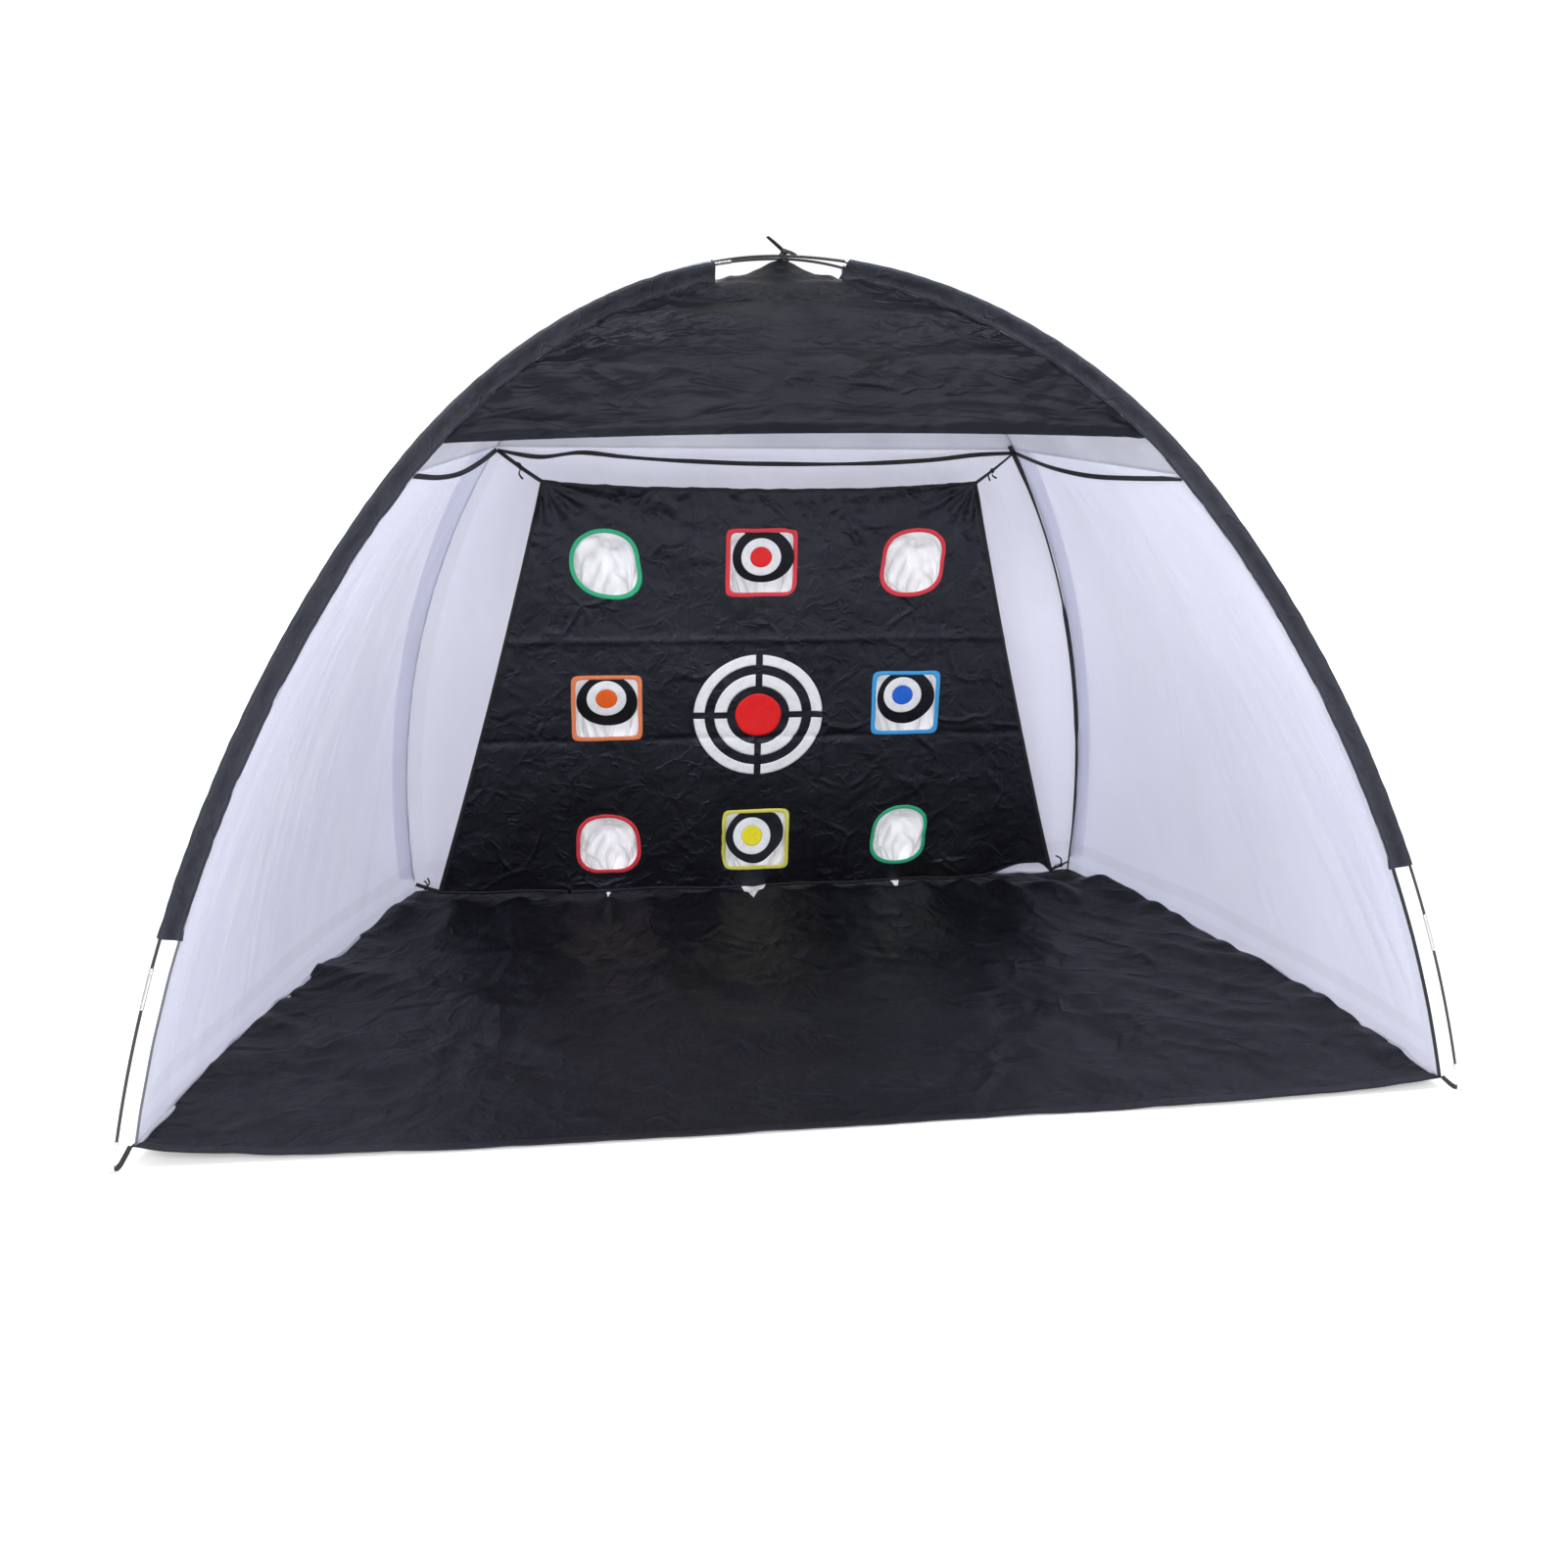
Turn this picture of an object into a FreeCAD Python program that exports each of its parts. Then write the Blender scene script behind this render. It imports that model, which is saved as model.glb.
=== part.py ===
import FreeCAD, Part
import math
import os

# Golf chipping net: a half dome tent on two crossing bent poles, open to the player.
# Millimetres. +X is the player's right, +Y points away from the player, +Z is up.
# The origin is on the ground, midway across and midway between front and back.

Vec = FreeCAD.Vector
os.makedirs("parts", exist_ok=True)

# Frame of the tent
front_span = 3040.0          # between the two front pole feet
rear_span = 2100.0           # between the two rear pole feet
depth = 1710.0               # from the front feet to the rear feet
apex_height = 1900.0         # where the poles cross
seam_share = 0.7237          # of the apex height: net walls below, roof cloth above
front_bend = (0.367, seam_share)   # where a front leg's two arcs meet: how far it has leaned in,
rear_bend = (0.3536, 0.8063)       # as a share of its run, and the height, as one of the apex's
round_sides = 8              # facets round a pole, a ferrule or a wire

# Poles
pole_diameter = 7.0
crossing_gap = 0.3           # between the two poles where they cross
first_section = 400.0        # from a front foot to its first joint
section_length = 560.0
rod_end_gap = 0.5            # between two rods inside a ferrule
ferrule_length = 90.0
ferrule_diameter = 9.2
ferrule_clearance = 0.1      # rod in its ferrule, on the radius
foot_rod_start = 58.0        # along the pole, from the ground

# Eye pin at each foot
pin_diameter = 4.5
pin_end_gap = 0.3            # below the pole's end face
ring_radius = 8.0
ring_wire = 3.4

# Webbing strap from each corner of the tent to its eye pin
strap_width = 9.0
strap_thickness = 1.2
strap_clearance = 0.3
strap_slack = 1.8

# Pole sleeves
sleeve_width = 45.0          # from the pole's centre to the sewn edge
sleeve_bore = 10.4
sleeve_wall = 1.2
sleeve_edge = 2.0            # thickness at the sewn edge
sleeve_back_facets = 6       # round the pole
sleeve_edge_facets = 2       # round the sewn edge
left_sleeve_foot = 490.0     # height where each sleeve ends
right_sleeve_foot = 545.0
rear_sleeve_foot = 60.0
crown_reach = 205.0          # sleeves and panels stop this far from the crossing
crown_lap = 6.0              # the crown patch reaches this far under the panels

# Cloth panels
cloth = 2.0                  # thickness of every cloth solid
seam_clearance = 0.3
floor_clearance = 0.8
side_belly = 90.0            # outward bow of a side wall at the floor
side_belly_middle = 55.0     # and halfway up
rear_belly = 60.0            # backward bow of the rear wall at the floor
rear_belly_middle = 90.0
side_waves = 2               # soft folds along a side wall
side_fold_depth = 7.0        # half from crest to hollow
rear_waves = 3
rear_fold_depth = 9.0
fold_steps = 4               # stretches of net in one wave
valance_rise = 87.0          # the hem's lower edge above the roof's seam
hem_width = 26.0
hem_thickness = 1.0
tape_width = 15.0
tape_thickness = 1.0
tape_gap = 0.3
tape_drop = 1.0              # the tapes' upper edge below the seam
rear_tape_sag = 34.0
rear_tape_lean = 0.2         # forward, as a share of its sag
rear_tape_steps = 8
binding_width = 12.0
binding_foot = 13.0          # height on the pole where the front bindings start
seam_binding_width = 10.0
seam_binding_inset = 48.7    # from the pole's centre
seam_binding_foot = 12.0
seam_binding_drop = 45.0     # its upper end below the seam

# Floor sheet
floor_margin = 6.0           # beyond the walls' feet
corner_cut = 40.0            # width of a corner where its strap is sewn

# Target sheet, measured in its own leaning plane from the middle of its pocket grid
lean_degrees = 9.2
grid_depth = 1556.0          # behind the front feet
grid_height = 613.0
grid_pitch = 443.0
target_top_half = 616.0
target_bottom_half = 950.0
target_top = 686.0
target_bottom = -590.0
target_top_sag = 24.0
target_side_draw = 10.0
target_bottom_drop = 16.0

# Bullseye print
bullseye_drop = 30.0         # below the middle of the grid
bullseye_radii = (191.0, 159.0, 130.0, 93.0, 68.0)
bullseye_slot = 20.0
print_thickness = 0.3

# Pockets
opening_size = 184.0
opening_corner = 8.0
trim_width = 11.0
trim_thickness = 1.2
bag_half_width = 103.0
bag_corner = 0.5             # share of the bag's depth cut off at its back corners
bag_depth = 130.0
bottom_bag_depth = 92.0      # the bottom row has the rear wall close behind it
bag_top_depth = 46.0
bag_tip_half_width = 34.0
bag_tip_depth = 30.0
bag_drop = 205.0             # from the opening's middle to the bag's tip
bottom_bag_drop = 150.0

# Swinging flaps
flap_radius = 88.0
flap_centre = 17.0           # above the opening's middle
flap_thickness = 1.6
flap_roll_radius = 1.5
flap_gap = 0.4
flap_ring_outer = 57.0
flap_spot_radius = 31.0

# Ties
tie_width = 9.0
tie_thickness = 1.6
tie_offset = 2.0             # from the sheet's top corners to their ties, across and down
bottom_tie_lap = 0.9         # a bottom tie's start inside the sheet's corner
bottom_tie_rise = 6.0        # its end above its start
top_tie_room = 3.1           # from the tape of the rear seam to the ties' ends
left_tie_inset = 49.8        # bottom ties end this far from the pole's centre
right_tie_inset = 61.0
knot_radius = 8.0
knot_flat = 0.55             # share of the knot's half length at its full width
apex_tie_width = 12.0
apex_tie_room = 6.5          # beside the poles inside the loop
apex_tie_slack = 2.2         # above them

# Sizes that follow
front_y = -(depth + rear_belly_middle) / 2.0
rear_y = front_y + depth
seam_height = seam_share * apex_height
valance_hem_height = seam_height + valance_rise
crossing_y = front_y + depth * front_span / (front_span + rear_span)
pole_radius = pole_diameter / 2.0
cross_shift = pole_radius + crossing_gap / 2.0
panel_offset = sleeve_width + seam_clearance
opening_half = opening_size / 2.0
lean = math.radians(lean_degrees)


def save(shape, name):
    shape.exportStep("parts/" + name + ".step")


def circle_wire(centre, axis, radius):
    return Part.Wire([Part.makeCircle(radius, centre, axis)])


def holed_face(wires):
    return Part.makeFace(wires, "Part::FaceMakerBullseye")


def arc_edge(a, b, c):
    return Part.Arc(a, b, c).toShape()


def closed_wire(points):
    return Part.makePolygon(points + points[:1])


def arc_points(point, inward, radius, first, last, facets):
    """Corners spaced along an arc of a cross-section, both ends included."""
    turns = [first + (last - first) * i / facets for i in range(facets + 1)]
    return [point(inward + radius * math.cos(a), radius * math.sin(a)) for a in turns]


def ring_wire_of(point, radius):
    """Facetted circle of a cross-section."""
    return closed_wire(arc_points(point, 0, radius, 0, 2 * math.pi, round_sides)[:-1])


class Leg:
    """Half of a pole, from its foot to the crossing, as two tangent arcs in one upright plane."""

    def __init__(self, foot_x, foot_y, top_height, bend_shares):
        self.foot = Vec(foot_x, foot_y, 0)
        plan = Vec(-foot_x, crossing_y - foot_y, 0)
        self.run = plan.Length
        self.inward = plan / self.run
        self.normal = self.inward.cross(Vec(0, 0, 1))
        inset = bend_shares[0] * self.run
        self.bend_height = bend_shares[1] * apex_height
        reach = self.run - inset
        rise = top_height - self.bend_height
        upper = (reach * reach + rise * rise) / (2 * rise)
        self.upper = (self.run, top_height - upper, upper)
        to_centre_s = (self.upper[0] - inset) / upper
        to_centre_z = (self.upper[1] - self.bend_height) / upper
        along = inset * to_centre_s + self.bend_height * to_centre_z
        lower = -(inset ** 2 + self.bend_height ** 2) / (2 * along)
        self.lower = (inset + lower * to_centre_s, self.bend_height + lower * to_centre_z, lower)

    def place(self, s, z):
        return Vec(self.foot.x + self.inward.x * s, self.foot.y + self.inward.y * s, z)

    def circle(self, z):
        return self.lower if z <= self.bend_height else self.upper

    def inset(self, z, offset):
        s, c, r = self.circle(z)
        return s - math.sqrt((r - offset) ** 2 - (z - c) ** 2)

    def at(self, z, offset=0.0):
        return self.place(self.inset(z, offset), z)

    def crown(self, offset, back=0.0):
        s, c, r = self.upper
        turn = math.asin((crown_reach + back) / r)
        return self.place(s - (r - offset) * math.sin(turn), c + (r - offset) * math.cos(turn))

    def turn_at(self, circle, z):
        s, c, r = circle
        return math.acos((z - c) / r)

    def arcs(self):
        """Foot to crossing: circle, angle from the vertical at its start, angle at its end."""
        foot_turn = self.turn_at(self.lower, 0.0)
        bend_turn = self.turn_at(self.upper, self.bend_height)
        return [(self.lower, foot_turn, bend_turn), (self.upper, bend_turn, 0.0)]

    def length(self):
        return sum(circle[2] * (a - b) for circle, a, b in self.arcs())

    def section(self, circle, turn, inward, across):
        """A point of a cross-section that stands square to the pole."""
        s, c, r = circle
        radius = r - inward
        point = self.place(s - radius * math.sin(turn), c + radius * math.cos(turn))
        return point + self.normal * across

    def sweep(self, start, end, outline):
        """Solid swept between two lengths along the leg. outline makes a face from a point maker."""
        pieces = []
        done = 0.0
        for circle, first, last in self.arcs():
            r = circle[2]
            low = max(start, done)
            high = min(end, done + r * (first - last))
            if high - low > 0.01:
                turn = first - (low - done) / r
                face = outline(lambda inward, across: self.section(circle, turn, inward, across))
                centre = self.place(circle[0], circle[1])
                swing = math.degrees((high - low) / r)
                pieces.append(face.revolve(centre, -self.normal, swing))
            done += r * (first - last)
        solid = pieces[0]
        for piece in pieces[1:]:
            solid = solid.fuse(piece)
        return solid.removeSplitter() if len(pieces) > 1 else solid

    def length_to(self, z):
        lower, upper = self.arcs()
        if z <= self.bend_height:
            return lower[0][2] * (lower[1] - self.turn_at(self.lower, z))
        below = lower[0][2] * (lower[1] - lower[2])
        return below + upper[0][2] * (upper[1] - self.turn_at(self.upper, z))


front_x = front_span / 2.0
rear_x = rear_span / 2.0
low_top = apex_height - cross_shift
high_top = apex_height + cross_shift

# Pole A runs from the front left foot to the rear right foot, pole B over it the other way
front_left = Leg(-front_x, front_y, low_top, front_bend)
rear_right = Leg(rear_x, rear_y, low_top, rear_bend)
front_right = Leg(front_x, front_y, high_top, front_bend)
rear_left = Leg(-rear_x, rear_y, high_top, rear_bend)
poles = {"a": (front_left, rear_right), "b": (front_right, rear_left)}
legs = (front_left, front_right, rear_left, rear_right)


# Poles

def disc_outline(*radii):
    def outline(point):
        return holed_face([ring_wire_of(point, radius) for radius in radii])
    return outline


def along_pole(pair, start, end, outline):
    """Sweep between two lengths from the front foot, over the crossing if need be."""
    front, rear = pair
    front_length = front.length()
    total = front_length + rear.length()
    pieces = []
    if start < front_length:
        pieces.append(front.sweep(start, min(end, front_length), outline))
    if end > front_length:
        pieces.append(rear.sweep(total - end, total - max(start, front_length), outline))
    solid = pieces[0]
    for piece in pieces[1:]:
        solid = solid.fuse(piece)
    return solid


def pole_joints(pair):
    total = pair[0].length() + pair[1].length()
    joints = [first_section]
    while joints[-1] + 1.5 * section_length < total:
        joints.append(joints[-1] + section_length)
    return joints, total


def make_pole(letter):
    pair = poles[letter]
    joints, total = pole_joints(pair)
    ends = [foot_rod_start] + joints + [total - foot_rod_start]
    rods = []
    for i in range(len(ends) - 1):
        start = ends[i] + (rod_end_gap / 2.0 if i > 0 else 0.0)
        end = ends[i + 1] - (rod_end_gap / 2.0 if i < len(ends) - 2 else 0.0)
        rods.append(along_pole(pair, start, end, disc_outline(pole_radius)))
    tube = disc_outline(ferrule_diameter / 2.0, pole_radius + ferrule_clearance)
    half = ferrule_length / 2.0
    ferrules = [along_pole(pair, j - half, j + half, tube) for j in joints]
    save(Part.makeCompound(rods), "pole_" + letter + "_rods")
    save(Part.makeCompound(ferrules), "pole_" + letter + "_ferrules")


# Eye pin in the pole's end, and the strap looped through its eye

eye_height = ring_radius + ring_wire / 2.0


def make_eye_pin(leg):
    """Wire ring standing on the ground with a straight pin up to the pole's end."""
    centre = leg.place(0, eye_height)

    def point(up, across):
        return centre + Vec(0, 0, ring_radius + up) + leg.normal * across
    ring = Part.Face(ring_wire_of(point, ring_wire / 2.0)).revolve(centre, leg.normal, 360)
    top = leg.section(leg.lower, leg.arcs()[0][1] - foot_rod_start / leg.lower[2], 0, 0)
    start = leg.place(0, eye_height + ring_radius + ring_wire / 2.0)
    reach = (top - start).Length - pin_end_gap
    pin = Part.makeCylinder(pin_diameter / 2.0, reach, start, top - start)
    return Part.makeCompound([ring, pin])


def make_corner_strap(leg, sewn_offset):
    """Narrow webbing on edge, turned round the eye's wire and sewn to the tent's corner."""
    low = eye_height - strap_width / 2.0
    half = ring_wire / 2.0 + strap_clearance + strap_thickness
    near = ring_radius - half - strap_slack
    far = min(leg.inset(z, sewn_offset) for z in (low, low + strap_width)) - seam_clearance

    def belt(room):
        def at(s, across):
            return leg.place(s, low) + leg.normal * across
        return Part.Wire([
            arc_edge(at(near + half, -room), at(near + half - room, 0), at(near + half, room)),
            Part.makeLine(at(near + half, room), at(far - half + room, room)),
            Part.makeLine(at(far - half + room, room), at(far - half + room, -room)),
            Part.makeLine(at(far - half + room, -room), at(near + half, -room)),
        ])
    return holed_face([belt(half), belt(half - strap_thickness)]).extrude(Vec(0, 0, strap_width))


# Sleeves and edge bindings

def sleeve_outline(point):
    """Teardrop of cloth round the pole, drawn in to a sewn edge towards the tent."""
    big = sleeve_bore / 2.0 + sleeve_wall
    small = sleeve_edge / 2.0
    far = sleeve_width - small
    turn = math.acos((big - small) / far)
    outer = arc_points(point, 0, big, turn, 2 * math.pi - turn, sleeve_back_facets)
    outer += arc_points(point, far, small, -turn, turn, sleeve_edge_facets)
    return holed_face([closed_wire(outer), ring_wire_of(point, sleeve_bore / 2.0)])


def make_sleeve(leg, foot_height):
    return leg.sweep(leg.length_to(foot_height), leg.length() - crown_reach, sleeve_outline)


def strip_outline(inner, outer, half):
    def outline(point):
        corners = [point(inner, -half), point(outer, -half), point(outer, half), point(inner, half)]
        return Part.Face(closed_wire(corners))
    return outline


def make_edge_binding(leg, sleeve_foot):
    start = leg.length_to(binding_foot)
    end = leg.length_to(sleeve_foot) - seam_clearance
    return leg.sweep(start, end, strip_outline(sleeve_width - binding_width, sleeve_width, cloth / 2.0))


def make_seam_binding(leg):
    """Black tape sewn along the seam between a side wall and the rear wall, inside the tent."""
    start = leg.length_to(seam_binding_foot)
    end = leg.length_to(seam_height - seam_binding_drop)
    outline = strip_outline(seam_binding_inset, seam_binding_inset + seam_binding_width,
                            tape_thickness / 2.0)
    return leg.sweep(start, end, outline)


# Cloth panels between two legs

def leg_profile(leg, heights, offset, thick):
    """Edges of a panel's end, in the leg's plane. A last height of None means the crown."""
    inner = offset + thick
    lows = [leg.at(z, offset) for z in heights if z is not None]
    backs = [leg.at(z, inner) for z in heights if z is not None]
    if heights[-1] is None:
        lows.append(leg.crown(offset))
        backs.append(leg.crown(inner))
    edges = []
    for a, b in zip(lows, lows[1:]):
        edges.append(arc_edge(a, leg.at((a.z + b.z) / 2.0, offset), b))
    edges.append(Part.makeLine(lows[-1], backs[-1]))
    for b, a in reversed(list(zip(backs, backs[1:]))):
        edges.append(arc_edge(a, leg.at((a.z + b.z) / 2.0, inner), b))
    edges.append(Part.makeLine(backs[0], lows[0]))
    return edges


def closed_solid(faces):
    solid = Part.Solid(Part.Shell(faces))
    return solid if solid.Volume > 0 else solid.reversed()


def ruled_solid(profiles):
    """Solid with straight-ruled sides between flat end profiles and any profiles in between."""
    faces = [Part.Face(Part.Wire(edges)) for edges in (profiles[0], profiles[-1])]
    for start, end in zip(profiles, profiles[1:]):
        faces += [Part.makeRuledSurface(a, b, 1) for a, b in zip(start, end)]
    return closed_solid(faces)


def between(one, two, heights, offset=panel_offset, thick=cloth):
    """Taut panel from one leg to another."""
    return ruled_solid([leg_profile(leg, heights, offset, thick) for leg in (one, two)])


def middle_profile(one, two, share, heights, bows, outward, offset, thick):
    """Edges of a section part way between two legs, bowed outwards by its own amount at each height."""
    outer = []
    for z, bow in zip(heights, bows):
        a, b = one.at(z, offset), two.at(z, offset)
        outer.append(a + (b - a) * share + outward * bow)
    inner = [p - outward * thick for p in outer]
    return [
        arc_edge(*outer),
        Part.makeLine(outer[2], inner[2]),
        arc_edge(inner[2], inner[1], inner[0]),
        Part.makeLine(inner[0], outer[0]),
    ]


def bowed_wall(one, two, heights, bows, outward, waves, fold_depth, offset=panel_offset, thick=cloth):
    """Net wall that bellies outwards between two legs, with soft upright folds."""
    count = waves * fold_steps
    ends = [leg_profile(leg, (heights[0], heights[2]), offset, thick) for leg in (one, two)]
    profiles = [ends[0]]
    for i in range(1, count):
        share = i / float(count)
        belly = 4.0 * share * (1.0 - share)
        ripple = fold_depth * math.sin(2.0 * math.pi * i / fold_steps)
        swelled = (bows[0] * belly, bows[1] * belly + ripple, bows[2] * belly)
        profiles.append(middle_profile(one, two, share, heights, swelled, outward, offset, thick))
    profiles.append(ends[1])
    return ruled_solid(profiles)


wall_foot = cloth + floor_clearance
wall_top = seam_height - seam_clearance / 2.0
wall_heights = (wall_foot, (wall_foot + wall_top) / 2.0, wall_top)
side_bows = (side_belly, side_belly_middle, 0.0)
rear_bows = (rear_belly, rear_belly_middle, 0.0)
left_out = (rear_left.foot - front_left.foot).cross(Vec(0, 0, -1)).normalize()
right_out = Vec(-left_out.x, left_out.y, 0)
back_out = Vec(0, 1, 0)
roof_foot = seam_height + seam_clearance / 2.0
inside = panel_offset + cloth + tape_gap


tape_heights = (seam_height - tape_drop - tape_width, seam_height - tape_drop)


def make_side_tape(front, rear):
    return between(front, rear, tape_heights, inside, tape_thickness)


def make_rear_tape():
    """Loose tape along the rear seam, which droops between the rear corners."""
    offset = inside + tape_gap
    profiles = [leg_profile(rear_left, tape_heights, offset, tape_thickness)]
    for i in range(1, rear_tape_steps):
        share = i / float(rear_tape_steps)
        sag = rear_tape_sag * 4.0 * share * (1.0 - share)
        outer = []
        for z in tape_heights:
            a, b = rear_left.at(z, offset), rear_right.at(z, offset)
            outer.append(a + (b - a) * share - Vec(0, rear_tape_lean * sag, sag))
        inner = [p - back_out * tape_thickness for p in outer]
        profiles.append(closed_wire([outer[0], outer[1], inner[1], inner[0]]).Edges)
    profiles.append(leg_profile(rear_right, tape_heights, offset, tape_thickness))
    return ruled_solid(profiles)


crown_corners = [leg.crown(panel_offset + cloth, -crown_lap)
                 for leg in (front_left, front_right, rear_right, rear_left)]
crown_height = min(corner.z for corner in crown_corners)


def make_crown_patch():
    """Four-sided top of the roof, just under the panels' upper ends."""
    flat = [Vec(corner.x, corner.y, crown_height - cloth) for corner in crown_corners]
    return Part.Face(closed_wire(flat)).extrude(Vec(0, 0, cloth))


# Floor sheet

def make_floor():
    """Flat sheet inside the feet, with bowed sides and corners cut square to their straps."""
    cuts = {}
    for leg in legs:
        middle = leg.place(sleeve_width - floor_margin, 0)
        cuts[leg] = [middle - leg.normal * corner_cut / 2.0, middle + leg.normal * corner_cut / 2.0]

    def side(start, end, outward, bow):
        return arc_edge(start, (start + end) * 0.5 + outward * bow, end)

    fl, fr, rl, rr = (cuts[leg] for leg in (front_left, front_right, rear_left, rear_right))
    fl.sort(key=lambda p: p.x)
    fr.sort(key=lambda p: p.x)
    rl.sort(key=lambda p: p.x)
    rr.sort(key=lambda p: p.x)
    edges = [
        Part.makeLine(fl[1], fr[0]),
        Part.makeLine(fr[0], fr[1]),
        side(fr[1], rr[1], right_out, side_belly),
        Part.makeLine(rr[1], rr[0]),
        side(rr[0], rl[1], back_out, rear_belly),
        Part.makeLine(rl[1], rl[0]),
        side(rl[0], fl[0], left_out, side_belly),
        Part.makeLine(fl[0], fl[1]),
    ]
    return Part.Face(Part.Wire(edges)).extrude(Vec(0, 0, cloth))


# Target sheet and what is on it. Local x across, y to the back, z up the sheet

target_origin = Vec(0, front_y + grid_depth, grid_height)
target_place = FreeCAD.Placement(target_origin, FreeCAD.Rotation(Vec(1, 0, 0), lean_degrees))


def leaned(shape):
    placed = shape.copy()
    placed.Placement = target_place.multiply(placed.Placement)
    return placed


def opening_wire(centre, half, round_opening, y=0.0):
    """Round or softly squared opening round a pocket's middle."""
    cx, cz = centre
    if round_opening:
        return circle_wire(Vec(cx, y, cz), Vec(0, 1, 0), half)
    r = opening_corner + half - opening_half
    near = half - r
    bend = r * math.sqrt(0.5)
    edges = []
    last = None
    for sx, sz in ((1, 1), (-1, 1), (-1, -1), (1, -1)):
        side = Vec(cx + sx * half, y, cz + sz * near)
        corner = Vec(cx + sx * (near + bend), y, cz + sz * (near + bend))
        end = Vec(cx + sx * near, y, cz + sz * half)
        points = (side, corner, end) if sx * sz > 0 else (end, corner, side)
        if last is not None:
            edges.append(Part.makeLine(last, points[0]))
        else:
            first = points[0]
        edges.append(arc_edge(*points))
        last = points[2]
    edges.append(Part.makeLine(last, first))
    return Part.Wire(edges)


rows = {"top": grid_pitch, "middle": 0.0, "bottom": -grid_pitch}
columns = {"left": -grid_pitch, "centre": 0.0, "right": grid_pitch}
pockets = {}
for row, z in rows.items():
    for column, x in columns.items():
        if (row, column) != ("middle", "centre"):
            corner = row != "middle" and column != "centre"
            size = (bottom_bag_drop, bottom_bag_depth) if row == "bottom" else (bag_drop, bag_depth)
            pockets[row + "_" + column] = ((x, z), corner, size)


def make_target():
    top = [Vec(-target_top_half, 0, target_top), Vec(0, 0, target_top - target_top_sag),
           Vec(target_top_half, 0, target_top)]
    bottom = [Vec(target_bottom_half, 0, target_bottom), Vec(0, 0, target_bottom - target_bottom_drop),
              Vec(-target_bottom_half, 0, target_bottom)]
    draw = Vec(target_side_draw, 0, 0)
    edges = [
        arc_edge(*top),
        arc_edge(top[2], (top[2] + bottom[0]) * 0.5 - draw, bottom[0]),
        arc_edge(*bottom),
        arc_edge(bottom[2], (bottom[2] + top[0]) * 0.5 + draw, top[0]),
    ]
    holes = [opening_wire(centre, opening_half, rounded) for centre, rounded, size in pockets.values()]
    return holed_face([Part.Wire(edges)] + holes).extrude(Vec(0, cloth, 0))


def make_trim(centre, rounded):
    """Coloured binding: a band on the sheet's face and a lip through the opening."""
    lip_half = opening_half - trim_thickness
    band = holed_face([opening_wire(centre, opening_half + trim_width, rounded, -trim_thickness),
                       opening_wire(centre, lip_half, rounded, -trim_thickness)])
    lip = holed_face([opening_wire(centre, opening_half, rounded),
                      opening_wire(centre, lip_half, rounded)])
    return band.extrude(Vec(0, trim_thickness, 0)).fuse(lip.extrude(Vec(0, cloth, 0)))


def bag_outline(centre, level, inset):
    """Level outline of a net bag: flat front and sides, and a back drawn in at both corners."""
    up, half, deep = level
    cx, cz = centre
    front = cloth + inset
    half = half - inset
    back = cloth + deep - inset
    cut = bag_corner * deep
    corners = [(-half, front), (-half, back - cut), (-half + cut, back),
               (half - cut, back), (half, back - cut), (half, front)]
    return [Vec(cx + x, y, cz + up) for x, y in corners]


def flat_sided(levels):
    """Closed solid through level outlines whose matching edges are parallel."""
    faces = [Part.Face(closed_wire(level)) for level in (levels[0], levels[-1])]
    for low, high in zip(levels, levels[1:]):
        for i in range(len(low)):
            j = (i + 1) % len(low)
            faces.append(Part.Face(closed_wire([low[i], low[j], high[j], high[i]])))
    return closed_solid(faces)


def make_bag(centre, rounded, size):
    """Net bag behind an opening, closed all round but for its mouth."""
    drop, depth_back = size
    top = opening_half + trim_width - 1.0
    levels = [
        (top, bag_half_width, bag_top_depth),
        (top * 0.55, bag_half_width, depth_back * 0.92),
        (-opening_half * 0.8, bag_half_width, depth_back),
        (-drop, bag_tip_half_width, bag_tip_depth),
    ]
    outer = flat_sided([bag_outline(centre, level, 0.0) for level in levels])
    levels[0] = (top - cloth, bag_half_width, bag_top_depth)
    levels[3] = (-drop + cloth, bag_tip_half_width, bag_tip_depth)
    inner = flat_sided([bag_outline(centre, level, cloth) for level in levels])
    mouth_half = opening_half - trim_thickness
    mouth = Part.Face(opening_wire(centre, mouth_half, rounded)).extrude(Vec(0, 2.5 * cloth, 0))
    return outer.cut(inner).cut(mouth)


def make_bullseye():
    """Two broken rings and a disc, printed on the sheet's face."""
    outer, outer_in, middle, inner_in, spot = bullseye_radii
    centre = Vec(0, -print_thickness, -bullseye_drop)
    forward = Vec(0, 1, 0)

    def ring(big, small):
        face = holed_face([circle_wire(centre, forward, big), circle_wire(centre, forward, small)])
        return face.extrude(Vec(0, print_thickness, 0))

    def bar(half_width, half_height):
        low = centre - Vec(half_width, print_thickness, half_height)
        return Part.makeBox(2 * half_width, 3 * print_thickness, 2 * half_height, low)

    slot = bullseye_slot / 2.0
    cross = bar(slot, outer + slot).fuse(bar(outer + slot, slot))
    rings = ring(outer, outer_in).cut(cross).Solids + ring(middle, inner_in).cut(cross).Solids
    disc = Part.Face(circle_wire(centre, forward, spot)).extrude(Vec(0, print_thickness, 0))
    return Part.makeCompound(rings), disc


# Swinging flaps. Each hangs plumb from a roll of cloth under its opening's top edge

flap_colours = {"top_centre": "red", "middle_left": "orange", "middle_right": "blue",
                "bottom_centre": "yellow"}
flap_axis_up = opening_half - trim_thickness - flap_gap - flap_roll_radius


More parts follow.
